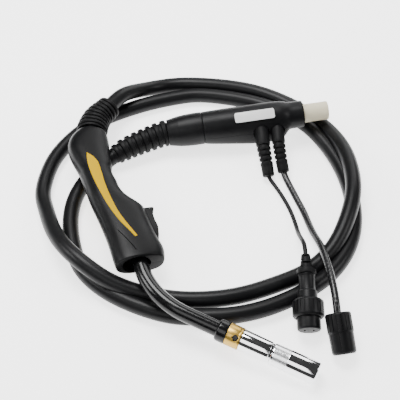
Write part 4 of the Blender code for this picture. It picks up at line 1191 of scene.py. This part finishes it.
def nut_pieces():
    nut = turned_wall("fluted_nut", (
        (0, 5.8), (0, 12.8), (1.6, 14.3), (20.6, 14.3), (22, 13.6), (42.3, 13.2), (44.5, 11.6), (44.5, 10.5),
        (14, 10.5), (14, 5.8)), 0.6, 2, FLUTED_STEPS)
    fluted(nut, 2.4, 20, 13.9, 4, 0, 0.2, 0.8)
    fluted(nut, 23, 42, 13, 9, 4, 0.2, 0.4)
    return fit(nut, fitting_black, nut_z, "gas_nut", "gas_nut", slot="moulded_black")


fluted_nut = nut_pieces()

# ---- the CAD's own pieces that stay

slot_finish = {
    "moulded_black": fitting_black, "trigger_black": trigger_black, "boot_rubber": boot_rubber,
    "cable_jacket": cable_jacket, "neck_black": neck_gloss, "gloss_black": black_parts, "yellow_trim": yellow_trim,
    "chrome": chrome, "brass": inner_brass, "copper": copper, "steel": steel, "insulator": insulator,
    "ivory_plastic": ivory_plastic, "white_plate": white_plate,
}
for subpart in frame["record"]["subparts"]:
    node = frame["nodes"][subpart["node"]]
    node.data.materials.clear()
    node.data.materials.append(slot_finish[subpart["material_slot"]])

# ---- the cords' starts, lengths and points, worked out in metres


def metres(point):
    return tuple(point * MM)


cable_shown = arc_lengths(shown_cable + inside_connector)[-1] * MM
metres(mouth)
[metres(p) for p in shown_cable + inside_connector]
metres(control_line[0])
arc_lengths(control_line)[-1] * MM
[metres(p) for p in control_points]
metres(hose_line[0])
arc_lengths(hose_line)[-1] * MM
[metres(p) for p in hose_points]

# ---- bench and light


BENCH_GLOW, ROOM_GLOW = 2.2, 0.055
LAMPS = (  # name, place, size in metres, power in watts
    ("top_light", (-0.25, 0.55, 1.5), 0.8, 40), ("left_light", (-1.4, 0, 1), 0.6, 17),
    ("right_light", (1.4, -0.1, 1.1), 0.6, 12), ("front_light", (-0.42, -0.98, 1.3), 0.9, 9),
    ("back_light", (0.55, 1.4, 0.8), 0.9, 12),
)


def bench_and_light():
    clear_selection()
    ops.mesh.primitive_plane_add(size=6, location=(0, 0, -0.0003))
    bench = bpy.context.object
    bench.name = bench.data.name = "bench"
    ops.object.transform_apply(location=True)
    finish = Finish("bench_white", (0.9, 0.9, 0.9), 0.7)
    finish.shader.inputs["Emission Color"].default_value = (1, 1, 1, 1)
    finish.shader.inputs["Emission Strength"].default_value = BENCH_GLOW
    bench.data.materials.append(finish.material)
    for name, at, size, power in LAMPS:
        lamp = bpy.data.lights.new(name, "AREA")
        lamp.shape = "SQUARE"
        lamp.size = size
        lamp.energy = power
        light = bpy.data.objects.new(name, lamp)
        light.location = at
        light.rotation_euler = (Vector((0.02, 0.08, 0)) - Vector(at)).to_track_quat("-Z", "Y").to_euler()
        show(light)
    world = bpy.data.worlds.new("studio")
    world.use_nodes = True
    background = world.node_tree.nodes["Background"]
    background.inputs["Color"].default_value = (1, 1, 1, 1)
    background.inputs["Strength"].default_value = ROOM_GLOW
    bpy.context.scene.world = world


bench_and_light()
